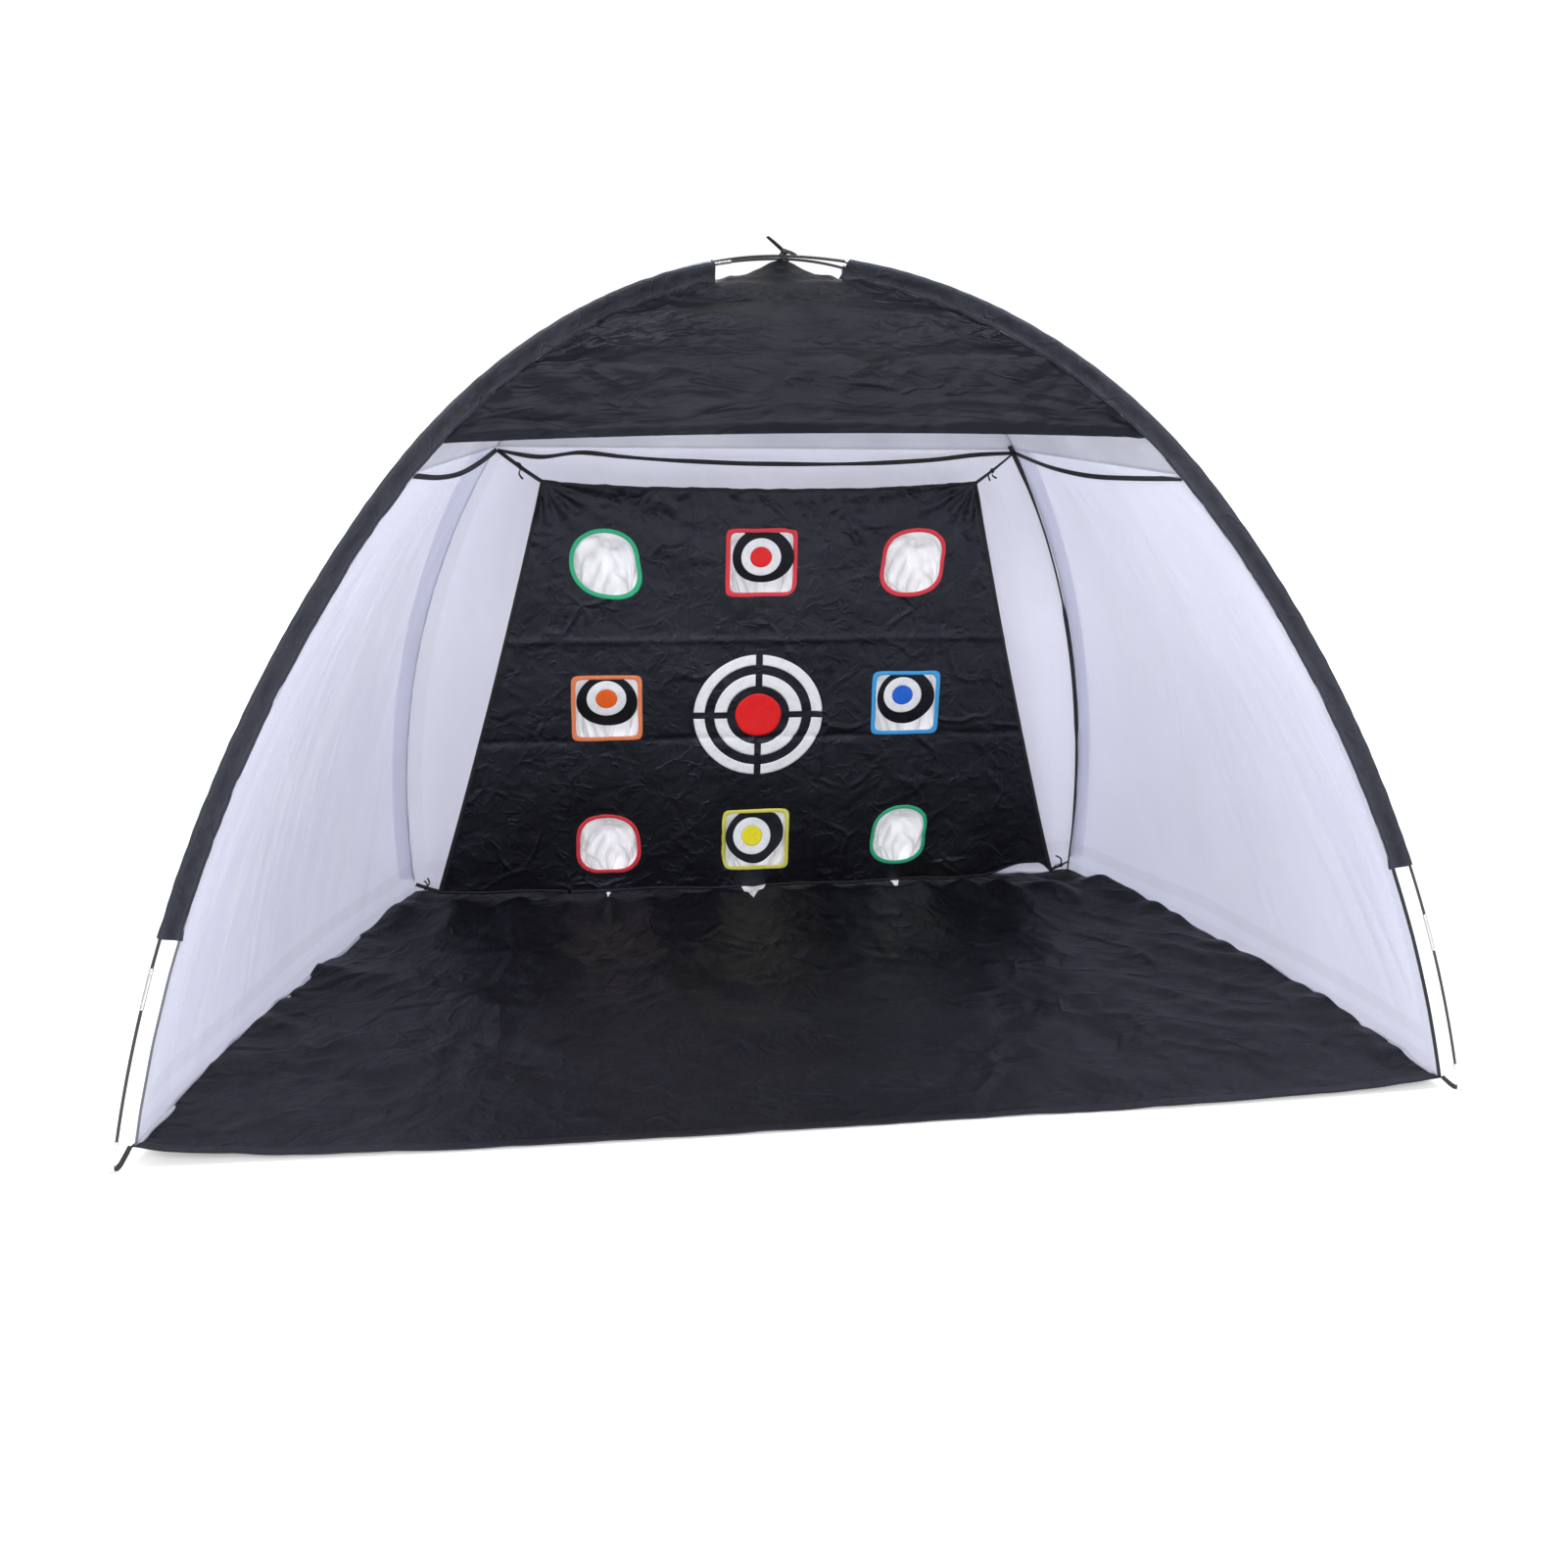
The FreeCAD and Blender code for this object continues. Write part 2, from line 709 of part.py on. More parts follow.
def flap_hinge(centre):
    """World place of a flap's hinge line, at its middle."""
    return target_place.multVec(Vec(centre[0], cloth / 2.0, centre[1] + flap_axis_up))


def make_flap(centre):
    """Black disc cut off along its hinge, with a rolled edge there."""
    hinge = flap_hinge(centre)
    below = flap_axis_up - flap_centre
    half = math.sqrt(flap_radius ** 2 - below ** 2)
    middle = hinge + Vec(0, -flap_thickness / 2.0, -below)
    ends = [middle + Vec(-half, 0, below), middle + Vec(half, 0, below)]
    face = Part.Face(Part.Wire([
        arc_edge(ends[0], middle - Vec(0, 0, flap_radius), ends[1]),
        Part.makeLine(ends[1], ends[0]),
    ]))
    disc = face.extrude(Vec(0, flap_thickness, 0))
    roll = Part.makeCylinder(flap_roll_radius, 2 * half, hinge - Vec(half, 0, 0), Vec(1, 0, 0))
    return disc.fuse(roll)


def make_flap_print(centre):
    """White ring and coloured spot on the flap's near face."""
    hinge = flap_hinge(centre)
    back = Vec(0, 1, 0)
    middle = hinge + Vec(0, -flap_thickness / 2.0 - print_thickness, flap_centre - flap_axis_up)
    ring = holed_face([circle_wire(middle, back, flap_ring_outer),
                       circle_wire(middle, back, flap_spot_radius)])
    spot = Part.Face(circle_wire(middle, back, flap_spot_radius))
    depth_vector = Vec(0, print_thickness, 0)
    return ring.extrude(depth_vector), spot.extrude(depth_vector)


# Ties

def make_tie(start, end, knot_share=0.5):
    """Flat tape pulled tight between two points, with a knot on the way."""
    along = end - start
    x = Vec(along).normalize()
    y = x.cross(Vec(0, 0, 1)).normalize()
    z = x.cross(y)
    thick = y * (tie_thickness / 2.0)
    wide = z * (tie_width / 2.0)
    corners = [start - thick - wide, start + thick - wide, start + thick + wide, start - thick + wide]
    tape = Part.Face(closed_wire(corners)).extrude(along)
    middle = start + along * knot_share
    flat = knot_radius * knot_flat
    half_knot = [(-knot_radius, 0), (-flat, knot_radius), (flat, knot_radius), (knot_radius, 0)]
    knot = Part.Face(closed_wire([middle + x * a + z * b for a, b in half_knot])).revolve(middle, x, 360)
    return tape.fuse(knot)


def make_target_ties():
    ties = []
    top_anchor = seam_height - tape_drop - tape_width / 2.0
    tape_inside = inside + tape_gap + tape_thickness
    for sign, leg, inset in ((-1, rear_left, left_tie_inset), (1, rear_right, right_tie_inset)):
        corner = Vec(sign * (target_top_half + tie_offset), cloth / 2.0, target_top - tie_offset)
        ties.append(make_tie(target_place.multVec(corner), leg.at(top_anchor, tape_inside + top_tie_room)))
        corner = Vec(sign * (target_bottom_half - bottom_tie_lap), cloth / 2.0, target_bottom + tie_width)
        start = target_place.multVec(corner)
        ties.append(make_tie(start, leg.at(start.z + bottom_tie_rise, inset)))
    return Part.makeCompound(ties)


def stadium(half, low, high):
    """Upright loop outline with round ends, along the tent at the crossing."""
    def at(y, z):
        return Vec(-apex_tie_width / 2.0, crossing_y + y, z)
    return Part.Wire([
        arc_edge(at(half, high - half), at(0, high), at(-half, high - half)),
        Part.makeLine(at(-half, high - half), at(-half, low + half)),
        arc_edge(at(-half, low + half), at(0, low), at(half, low + half)),
        Part.makeLine(at(half, low + half), at(half, high - half)),
    ])


def make_apex_tie():
    """Tape looped over the crossing and sewn to the crown patch, knotted on top."""
    top = high_top + pole_radius + apex_tie_slack + tie_thickness
    low = crown_height + seam_clearance
    half = pole_radius + tie_thickness + apex_tie_room
    inner = stadium(half - tie_thickness, low + tie_thickness, top - tie_thickness)
    along = Vec(apex_tie_width, 0, 0)
    loop = holed_face([stadium(half, low, top), inner]).extrude(along)
    middle = Vec(-apex_tie_width / 2.0, crossing_y, top + knot_radius - 1.0)
    return loop.fuse(Part.makeCylinder(knot_radius, apex_tie_width, middle, along))


def build():
    for letter in poles:
        make_pole(letter)
    save(Part.makeCompound([make_eye_pin(leg) for leg in legs]), "eye_pins")
    front_edge = sleeve_width - binding_width
    straps = [make_corner_strap(leg, front_edge) for leg in (front_left, front_right)]
    straps += [make_corner_strap(leg, panel_offset) for leg in (rear_left, rear_right)]
    save(Part.makeCompound(straps), "corner_straps")

    save(make_sleeve(front_left, left_sleeve_foot), "front_sleeve_left")
    save(make_sleeve(front_right, right_sleeve_foot), "front_sleeve_right")
    save(make_sleeve(rear_left, rear_sleeve_foot), "rear_sleeve_left")
    save(make_sleeve(rear_right, rear_sleeve_foot), "rear_sleeve_right")
    save(make_edge_binding(front_left, left_sleeve_foot), "front_binding_left")
    save(make_edge_binding(front_right, right_sleeve_foot), "front_binding_right")
    save(make_seam_binding(rear_right), "rear_seam_binding")

    side_folds = (side_waves, side_fold_depth)
    save(bowed_wall(front_left, rear_left, wall_heights, side_bows, left_out, *side_folds), "net_wall_left")
    save(bowed_wall(front_right, rear_right, wall_heights, side_bows, right_out, *side_folds),
         "net_wall_right")
    save(bowed_wall(rear_left, rear_right, wall_heights, rear_bows, back_out, rear_waves, rear_fold_depth),
         "net_wall_rear")
    roof_heights = (roof_foot, rear_left.bend_height, None)
    save(between(front_left, rear_left, roof_heights), "roof_left")
    save(between(front_right, rear_right, roof_heights), "roof_right")
    save(between(rear_left, rear_right, roof_heights), "roof_rear")
    save(between(front_left, front_right, (valance_hem_height, None)), "valance")
    hem_heights = (valance_hem_height, valance_hem_height + hem_width)
    save(between(front_left, front_right, hem_heights, inside, hem_thickness), "valance_hem")
    save(make_crown_patch(), "crown_patch")
    save(make_side_tape(front_left, rear_left), "seam_tape_left")
    save(make_side_tape(front_right, rear_right), "seam_tape_right")
    save(make_rear_tape(), "seam_tape_rear")
    save(make_floor(), "floor_sheet")

    save(leaned(make_target()), "target_sheet")
    rings, disc = make_bullseye()
    save(leaned(rings), "bullseye_rings")
    save(leaned(disc), "bullseye_centre")
    for name, (centre, rounded, size) in pockets.items():
        save(leaned(make_trim(centre, rounded)), "pocket_trim_" + name)
        save(leaned(make_bag(centre, rounded, size)), "pocket_net_" + name)
    for name, colour in flap_colours.items():
        centre = pockets[name][0]
        ring, spot = make_flap_print(centre)
        save(make_flap(centre), "flap_" + colour)
        save(ring, "flap_" + colour + "_ring")
        save(spot, "flap_" + colour + "_spot")
    save(make_target_ties(), "target_ties")
    save(make_apex_tie(), "apex_tie")


build()
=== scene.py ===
import bpy, bmesh, math
from mathutils import Matrix, Vector, noise


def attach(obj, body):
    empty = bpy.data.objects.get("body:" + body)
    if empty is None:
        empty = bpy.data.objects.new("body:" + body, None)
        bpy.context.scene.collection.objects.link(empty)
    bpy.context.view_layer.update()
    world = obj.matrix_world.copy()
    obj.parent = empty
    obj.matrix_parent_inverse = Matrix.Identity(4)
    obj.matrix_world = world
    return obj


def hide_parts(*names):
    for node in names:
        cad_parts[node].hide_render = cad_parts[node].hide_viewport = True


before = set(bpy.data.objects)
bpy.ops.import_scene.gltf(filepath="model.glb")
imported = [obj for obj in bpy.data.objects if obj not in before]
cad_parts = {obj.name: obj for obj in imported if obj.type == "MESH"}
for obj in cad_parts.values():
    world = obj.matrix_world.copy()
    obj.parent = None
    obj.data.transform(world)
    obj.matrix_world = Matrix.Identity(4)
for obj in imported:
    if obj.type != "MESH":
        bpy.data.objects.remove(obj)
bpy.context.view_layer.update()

# Golf chipping net: a half dome on two crossing poles, with a hanging target sheet.
# Metres. +X is the player's right, +Y points away from the player, +Z is up.

# Sizes shared by several pieces, as in the construction
tent = {
    "frontHalf": 1.52,            # from the middle to a front foot
    "rearHalf": 1.05,
    "frontY": -0.9,
    "depth": 1.71,
    "apexHeight": 1.9,
    "crossShift": 0.00365,        # half the distance between the two poles where they cross
    "seamShare": 0.7237,          # of the apex height
    "frontBend": (0.367, 0.7237),  # share of the leg's run, and of the apex height
    "rearBend": (0.3536, 0.8063),
    "crownReach": {"front_left": 0.224, "front_right": 0.182, "rear_left": 0.205, "rear_right": 0.205},
    "panelOffset": 0.0435,        # from a pole's centre to a panel's edge
    "seamFrontRise": 0.048,       # the roof's seams climb towards the front
    "hemAbove": 0.087,            # from the seams up to the valance's hem
    "hemRise": {"front_left": 0.02, "front_right": 0.043, "rear_left": 0, "rear_right": 0},
    "cornerLift": {"front_left": 0.04, "front_right": 0.02, "rear_left": 0, "rear_right": 0},
    "liftReach": 0.22,            # share of a side over which a lifted corner comes down
}
rearY = tent["frontY"] + tent["depth"]
crossingY = tent["frontY"] + tent["depth"] * tent["frontHalf"] / (tent["frontHalf"] + tent["rearHalf"])
seamHeight = tent["seamShare"] * tent["apexHeight"]
# Directions, those to the left and right square to the side walls
left = Vector((-1.71, 0.47, 0)).normalized()
right = Vector((1.71, 0.47, 0)).normalized()
back = Vector((0, 1, 0))
up = Vector((0, 0, 1))


# Camera, floor and lights

camera = {
    "focalPixels": 1903.5,        # in the photograph's own frame
    "middlePixel": (930.4, 746.9),
    "photoSize": 1601,
    "place": (-0.5756, -4.7077, 1.8876),
    "yaw": -10.96,
    "pitch": 14.02,
    "roll": 1.43,
}

studio = {
    "horizonLight": 0.42,         # strength of the surroundings, level and straight up
    "zenithLight": 0.85,
    "rearShade": 0.12,            # how much darker it is behind the tent
    "floorColour": (0.8, 0.8, 0.81),
    "floorGlow": 0.38,
    "floorHalf": 16,
    "floorDrop": 0.0004,          # below the feet
    "fade": (2.2, 5.5),           # between these distances the floor turns white for the camera
}

lamps = {
    "key": {"place": (-2.4, -5.2, 3.4), "target": (0, 0, 0.9), "size": (2.6, 1.4), "watts": 160},
    "fill": {"place": (3.6, -4.2, 2.2), "target": (0, 0.2, 0.7), "size": (2.2, 2.2), "watts": 55},
    "top": {"place": (0, -1.0, 4.5), "target": (0, -0.5, 1.2), "size": (4.6, 0.7), "watts": 125},
}


def makeCamera():
    turn = Matrix.Rotation(math.radians(camera["roll"]), 3, "Z")
    turn = turn @ Matrix.Rotation(math.radians(camera["pitch"]), 3, "X")
    turn = turn @ Matrix(((1, 0, 0), (0, 0, -1), (0, 1, 0)))
    turn = turn @ Matrix.Rotation(math.radians(-camera["yaw"]), 3, "Z")
    size = camera["photoSize"]
    data = bpy.data.cameras.new("camera")
    data.sensor_width = 36
    data.lens = camera["focalPixels"] / size * data.sensor_width
    data.shift_x = 0.5 - camera["middlePixel"][0] / size
    data.shift_y = camera["middlePixel"][1] / size - 0.5
    data.clip_end = 100
    obj = bpy.data.objects.new("camera", data)
    axes = turn.transposed() @ Matrix.Diagonal((1, -1, -1))
    obj.matrix_world = Matrix.Translation(camera["place"]) @ axes.to_4x4()
    bpy.context.collection.objects.link(obj)
    bpy.context.scene.camera = obj


def addLight(name, place, target, size, watts):
    data = bpy.data.lights.new(name, "AREA")
    data.shape = "RECTANGLE"
    data.size, data.size_y = size
    data.energy = watts
    obj = bpy.data.objects.new(name, data)
    obj.location = place
    obj.rotation_euler = (Vector(target) - Vector(place)).to_track_quat("-Z", "Y").to_euler()
    bpy.context.collection.objects.link(obj)


# Brighter overhead than level, a little darker behind the tent, and white wherever it is seen directly
def makeWorld():
    world = bpy.data.worlds.new("studio")
    world.use_nodes = True
    tree = world.node_tree
    axes = addNode(tree, "SeparateXYZ", {0: addNode(tree, "TexCoord").outputs["Generated"]}).outputs
    height = addMath(tree, "MAXIMUM", axes[2], 0)
    gain = studio["zenithLight"] - studio["horizonLight"]
    light = addMath(tree, "MULTIPLY_ADD", height, gain, studio["horizonLight"])
    rear = addMath(tree, "MAXIMUM", axes[1], 0)
    behind = addMath(tree, "MULTIPLY", rear, addMath(tree, "SUBTRACT", 1, height))
    light = addMath(tree, "MULTIPLY_ADD", behind, -studio["rearShade"], light)
    path = addNode(tree, "LightPath").outputs
    seen = addMath(tree, "MAXIMUM", path["Is Camera Ray"], path["Is Transmission Ray"])
    extra = addMath(tree, "MULTIPLY", addMath(tree, "SUBTRACT", 1, light), seen)
    strength = addMath(tree, "ADD", light, extra)
    feed(tree, tree.nodes["Background"], {"Color": (1, 1, 1, 1), "Strength": strength})
    bpy.context.scene.world = world


def floorMaterial():
    mat, tree, shader = newMaterial("studio_floor", studio["floorColour"], 0.9)
    place = addNode(tree, "TexCoord").outputs["Object"]
    far = addNode(tree, "VectorMath", {0: place}, operation="LENGTH").outputs["Value"]
    path = addNode(tree, "LightPath").outputs
    seen = addMath(tree, "MULTIPLY", addRange(tree, far, studio["fade"]), path["Is Camera Ray"])
    glow = addMath(tree, "MULTIPLY_ADD", seen, 1 - studio["floorGlow"], studio["floorGlow"])
    feed(tree, shader, {"Specular IOR Level": 0.1, "Emission Color": (1, 1, 1, 1), "Emission Strength": glow})
    return mat


def makeStudio():
    bpy.context.scene.view_settings.view_transform = "Standard"
    makeWorld()
    for name, lamp in lamps.items():
        addLight(name, **lamp)
    bm = bmesh.new()
    bmesh.ops.create_grid(bm, x_segments=1, y_segments=1, size=studio["floorHalf"])
    mesh = bpy.data.meshes.new("studio_floor")
    bm.to_mesh(mesh)
    bm.free()
    floor = bpy.data.objects.new("studio_floor", mesh)
    floor.location.z = -studio["floorDrop"]
    bpy.context.collection.objects.link(floor)
    mesh.materials.append(floorMaterial())


# Node helpers

# Set a node's inputs, each by a value or by a link from another node
def feed(tree, node, values):
    for name, value in values.items():
        if isinstance(value, bpy.types.NodeSocket):
            tree.links.new(value, node.inputs[name])
        else:
            node.inputs[name].default_value = value


def addNode(tree, kind, values=None, **settings):
    node = tree.nodes.new("ShaderNode" + kind)
    for name, setting in settings.items():
        setattr(node, name, setting)
    feed(tree, node, values or {})
    return node


def newMaterial(name, colour, roughness, values=None):
    mat = bpy.data.materials.new(name)
    mat.use_nodes = True
    shader = mat.node_tree.nodes["Principled BSDF"]
    feed(mat.node_tree, shader, {"Base Color": (*colour, 1), "Roughness": roughness, **(values or {})})
    return mat, mat.node_tree, shader


def addMath(tree, operation, *values):
    return addNode(tree, "Math", dict(enumerate(values)), operation=operation).outputs[0]


def addRange(tree, value, before=(0.0, 1.0), after=(0.0, 1.0)):
    limits = dict(zip(("From Min", "From Max", "To Min", "To Max"), before + after))
    return addNode(tree, "MapRange", {"Value": value, **limits}).outputs[0]


def addWave(tree, value, length):
    return addMath(tree, "SINE", addMath(tree, "MULTIPLY", value, 2 * math.pi / length))


# The piece's own flat coordinates, in metres
def clothPlace(tree, stretch=(1, 1, 1)):
    place = addNode(tree, "TexCoord").outputs["UV"]
    return addNode(tree, "Mapping", {"Vector": place, "Scale": stretch}).outputs[0]


def clothAxes(tree):
    split = addNode(tree, "SeparateXYZ", {0: clothPlace(tree)})
    return split.outputs[0], split.outputs[1]


def addNoise(tree, vector, scale, detail=3.0, distortion=0.0):
    values = {"Vector": vector, "Scale": scale, "Detail": detail, "Distortion": distortion}
    return addNode(tree, "TexNoise", values).outputs["Fac"]


def tinted(colour, gain, extra=0.0):
    return tuple(min(1, c * gain + extra) for c in colour)


# Base colour between two tones, as a pattern's value goes from one stop to the other
def paint(tree, shader, value, *stops):
    ramp = addNode(tree, "ValToRGB", {"Fac": value})
    for stop, (at, colour) in zip(ramp.color_ramp.elements, stops):
        stop.position = at
        stop.color = (*colour, 1)
    tree.links.new(ramp.outputs["Color"], shader.inputs["Base Color"])


def addBump(tree, shader, height, distance, strength=1.0, under=None):
    values = {"Distance": distance, "Strength": strength, "Height": height}
    if under is not None:
        values["Normal"] = under
    normal = addNode(tree, "Bump", values).outputs[0]
    tree.links.new(normal, shader.inputs["Normal"])
    return normal


# Threads over and under each other
def addWeave(tree):
    return addMath(tree, "MULTIPLY", *(addWave(tree, axis, weave["pitch"]) for axis in clothAxes(tree)))


# Short fold lines of crumpled cloth: 1 on the lines, falling to 0 beside them
def addCreases(tree, scale, stretch, sharp=0.08, share=0.46):
    vector = clothPlace(tree, stretch)
    wobble = addNode(tree, "TexNoise", {"Vector": vector, "Scale": scale * 0.7, "Detail": 2})
    moved = addNode(tree, "VectorMath", {0: wobble.outputs["Color"], 1: (0.16, 0.16, 0.16), 2: vector},
                    operation="MULTIPLY_ADD")
    cells = addNode(tree, "TexVoronoi", {"Vector": moved.outputs[0], "Scale": scale},
                    feature="DISTANCE_TO_EDGE")
    near = addMath(tree, "SUBTRACT", 1, addMath(tree, "DIVIDE", cells.outputs["Distance"], sharp))
    some = addRange(tree, addNoise(tree, vector, scale * 0.9, 1.0), (share, share + 0.16))
    return addMath(tree, "MULTIPLY", addMath(tree, "MAXIMUM", near, 0), some)


# 1 on the threads of straight seams that run along the cloth at the given places across it
def addStitches(tree, lines):
    across, along = clothAxes(tree)
    step = addMath(tree, "FRACT", addMath(tree, "DIVIDE", along, stitch["pitch"]))
    beat = addMath(tree, "LESS_THAN", step, stitch["share"])
    found = None
    for line in lines:
        near = addMath(tree, "COMPARE", across, line, stitch["width"])
        found = near if found is None else addMath(tree, "MAXIMUM", found, near)
    return addMath(tree, "MULTIPLY", found, beat)


# Lay a colour over the base colour where mask is 1
def addOver(tree, shader, mask, colour):
    below = shader.inputs["Base Color"].links[0].from_socket
    mix = addNode(tree, "Mix", {0: mask, 6: below, 7: (*colour, 1)}, data_type="RGBA")
    tree.links.new(mix.outputs[2], shader.inputs["Base Color"])


# Mix another surface into the one that a material has so far
def mixSurface(tree, share, other):
    surface = tree.nodes["Material Output"].inputs["Surface"]
    mix = addNode(tree, "MixShader", {0: share, 1: surface.links[0].from_socket, 2: other})
    tree.links.new(mix.outputs[0], surface)


# Let light from behind come through pale cloth
def passThrough(tree, colour, share):
    mixSurface(tree, share, addNode(tree, "BsdfTranslucent", {"Color": (*colour, 1)}).outputs[0])


# Materials

weave = {"pitch": 0.0011, "relief": 0.00012}
stitch = {"pitch": 0.004, "share": 0.68, "width": 0.0009}
knit = {"pitch": 0.0024, "wider": 1.15, "relief": 0.0005, "hemBars": 0.005}


# Coated plain-weave cloth with pressed and crumpled folds
def taffeta(name, colour, roughness, scale, depth, stretch=(1, 1, 1), stitches=(), glow=0.0, shine=0.5,
            sheen=0.03):
    values = {"Specular IOR Level": shine, "Specular Tint": (0.74, 0.78, 1, 1), "Sheen Weight": sheen}
    mat, tree, shader = newMaterial(name, colour, roughness, values)
    cloudy = addNoise(tree, clothPlace(tree), 3.0, 4.0)
    paint(tree, shader, cloudy, (0.32, tinted(colour, 0.8)), (0.7, tinted(colour, 1.2, 0.002)))
    worn = addNoise(tree, clothPlace(tree, stretch), 9, 4.0)
    rough = addRange(tree, worn, after=(roughness - 0.07, roughness + 0.1))
    tree.links.new(rough, shader.inputs["Roughness"])
    swell = addNoise(tree, clothPlace(tree, stretch), scale * 2.2, 5.0, 0.7)
    normal = addBump(tree, shader, swell, depth, 0.55)
    normal = addBump(tree, shader, addCreases(tree, scale, stretch), depth * 0.35, 0.6, normal)
    small = addCreases(tree, scale * 2.7, stretch, 0.12)
    normal = addBump(tree, shader, small, depth * 0.16, 0.5, normal)
    if stitches:
        thread = addStitches(tree, stitches)
        addOver(tree, shader, thread, tinted(colour, 1.7, 0.012))
        normal = addBump(tree, shader, thread, 0.0006, 0.7, normal)
    addBump(tree, shader, addWeave(tree), weave["relief"], 0.6, normal)
    if glow:
        passThrough(tree, colour, glow)
    return mat


# Bars across the threads where the mesh is folded over, along its edge and its foot
def addHemBars(tree, shader, across, along, colour, width):
    edge = addMath(tree, "LESS_THAN", across, width)
    foot = addMath(tree, "LESS_THAN", along, width)
    secondFold = addMath(tree, "COMPARE", along, width * 2.1, width * 0.4)
    near = addMath(tree, "MAXIMUM", addMath(tree, "MAXIMUM", foot, edge), secondFold)
    lines = addMath(tree, "ADD", along, addMath(tree, "MULTIPLY", across, 0.12))
    bars = addMath(tree, "GREATER_THAN", addWave(tree, lines, knit["hemBars"]), 0.2)
    addOver(tree, shader, addMath(tree, "MULTIPLY", bars, near), tinted(colour, 0.62))


# Fine knitted mesh: threads with holes between them, closer along its hems. Its emission is painted light
# that makes the mesh glow of itself, and crush paints shade along its crease lines
def netting(name, colour, openShare, glow=0.45, hems=0.0, crush=0.0, paintedGlow=0.0):
    # Emission in the mesh's own colour: painted light, a glow of its own
    values = {"Sheen Weight": 0.15, "Emission Color": (*colour, 1), "Emission Strength": paintedGlow}
    mat, tree, shader = newMaterial(name, colour, 0.8, values)
    cloudy = addNoise(tree, clothPlace(tree, (1.4, 0.6, 1)), 2.4, 3.0)
    paint(tree, shader, cloudy, (0.35, tinted(colour, 0.9)), (0.68, colour))
    across, along = clothAxes(tree)
    rows = addWave(tree, along, knit["pitch"])
    columns = addWave(tree, across, knit["pitch"] * knit["wider"])
    holes = addMath(tree, "MULTIPLY_ADD", addMath(tree, "MULTIPLY", rows, columns), 0.5, openShare)
    clear = addMath(tree, "MINIMUM", addMath(tree, "MAXIMUM", holes, 0.04), 0.92)
    if hems:
        addHemBars(tree, shader, across, along, colour, hems)
    if crush:
        # Painted shade: the base colour darkened to half along crease lines
        lines = addCreases(tree, 9, (1, 1, 1), 0.13, 0.3)
        addOver(tree, shader, addMath(tree, "MULTIPLY", lines, 0.85), tinted(colour, 0.5))
    passThrough(tree, colour, glow)
    mixSurface(tree, clear, addNode(tree, "BsdfTransparent").outputs[0])
    swell = addNoise(tree, clothPlace(tree, (1.8, 0.45, 1)), 5, 5.0, 0.6)
    normal = addBump(tree, shader, swell, 0.012, 0.6)
    normal = addBump(tree, shader, addCreases(tree, 2.2, (2.4, 0.7, 1), 0.05), 0.004, 0.5, normal)
    if crush:
        normal = addBump(tree, shader, addCreases(tree, 9, (1, 1, 1), 0.35, 0.3), crush, 1.0, normal)
    addBump(tree, shader, holes, knit["relief"], 0.5, normal)
    return mat


# slant is how fast the ribs' wave turns, in radians per metre, across and along the tape
twill = {"slant": (2600, 1600), "relief": 0.0003, "fuzz": 0.0002}


# Twill tape with slanting ribs
def webbing(name, colour, roughness=0.68):
    mat, tree, shader = newMaterial(name, colour, roughness)
    across, along = clothAxes(tree)
    sideways, lengthways = twill["slant"]
    slant = addMath(tree, "MULTIPLY_ADD", across, sideways, addMath(tree, "MULTIPLY", along, lengthways))
    rib = addMath(tree, "MULTIPLY_ADD", addMath(tree, "SINE", slant), 0.5, 0.5)
    paint(tree, shader, rib, (0.15, tinted(colour, 0.78)), (0.85, tinted(colour, 1.25, 0.006)))
    normal = addBump(tree, shader, rib, twill["relief"], 0.6)
    addBump(tree, shader, addNoise(tree, clothPlace(tree), 400, 2.0), twill["fuzz"], 0.5, normal)
    return mat


# Colour printed on the cloth, with the weave and small worn specks
def printed(name, colour, roughness=0.5):
    mat, tree, shader = newMaterial(name, colour, roughness)
    worn = addNoise(tree, clothPlace(tree), 34, 5.0)
    paint(tree, shader, worn, (0.33, tinted(colour, 0.88)), (0.52, colour))
    normal = addBump(tree, shader, addNoise(tree, clothPlace(tree), 14, 4.0, 0.5), 0.002, 0.4)
    addBump(tree, shader, addWeave(tree), weave["relief"], 0.6, normal)
    return mat


def glassFibre(name):
    mat, tree, shader = newMaterial(name, (0.03, 0.03, 0.034), 0.3)
    streak = addNoise(tree, clothPlace(tree, (400, 9, 1)), 1.0, 3.0)
    paint(tree, shader, streak, (0.35, (0.016, 0.016, 0.019)), (0.7, (0.045, 0.045, 0.05)))
    addBump(tree, shader, streak, 0.0001, 0.4)
    return mat


def steel(name):
    mat, tree, shader = newMaterial(name, (0.72, 0.73, 0.75), 0.28, {"Metallic": 1.0})
    scratch = addNoise(tree, clothPlace(tree, (300, 40, 1)), 1.0, 4.0)
    tree.links.new(addRange(tree, scratch, after=(0.18, 0.42)), shader.inputs["Roughness"])
    addBump(tree, shader, scratch, 0.0001, 0.3)
    return mat


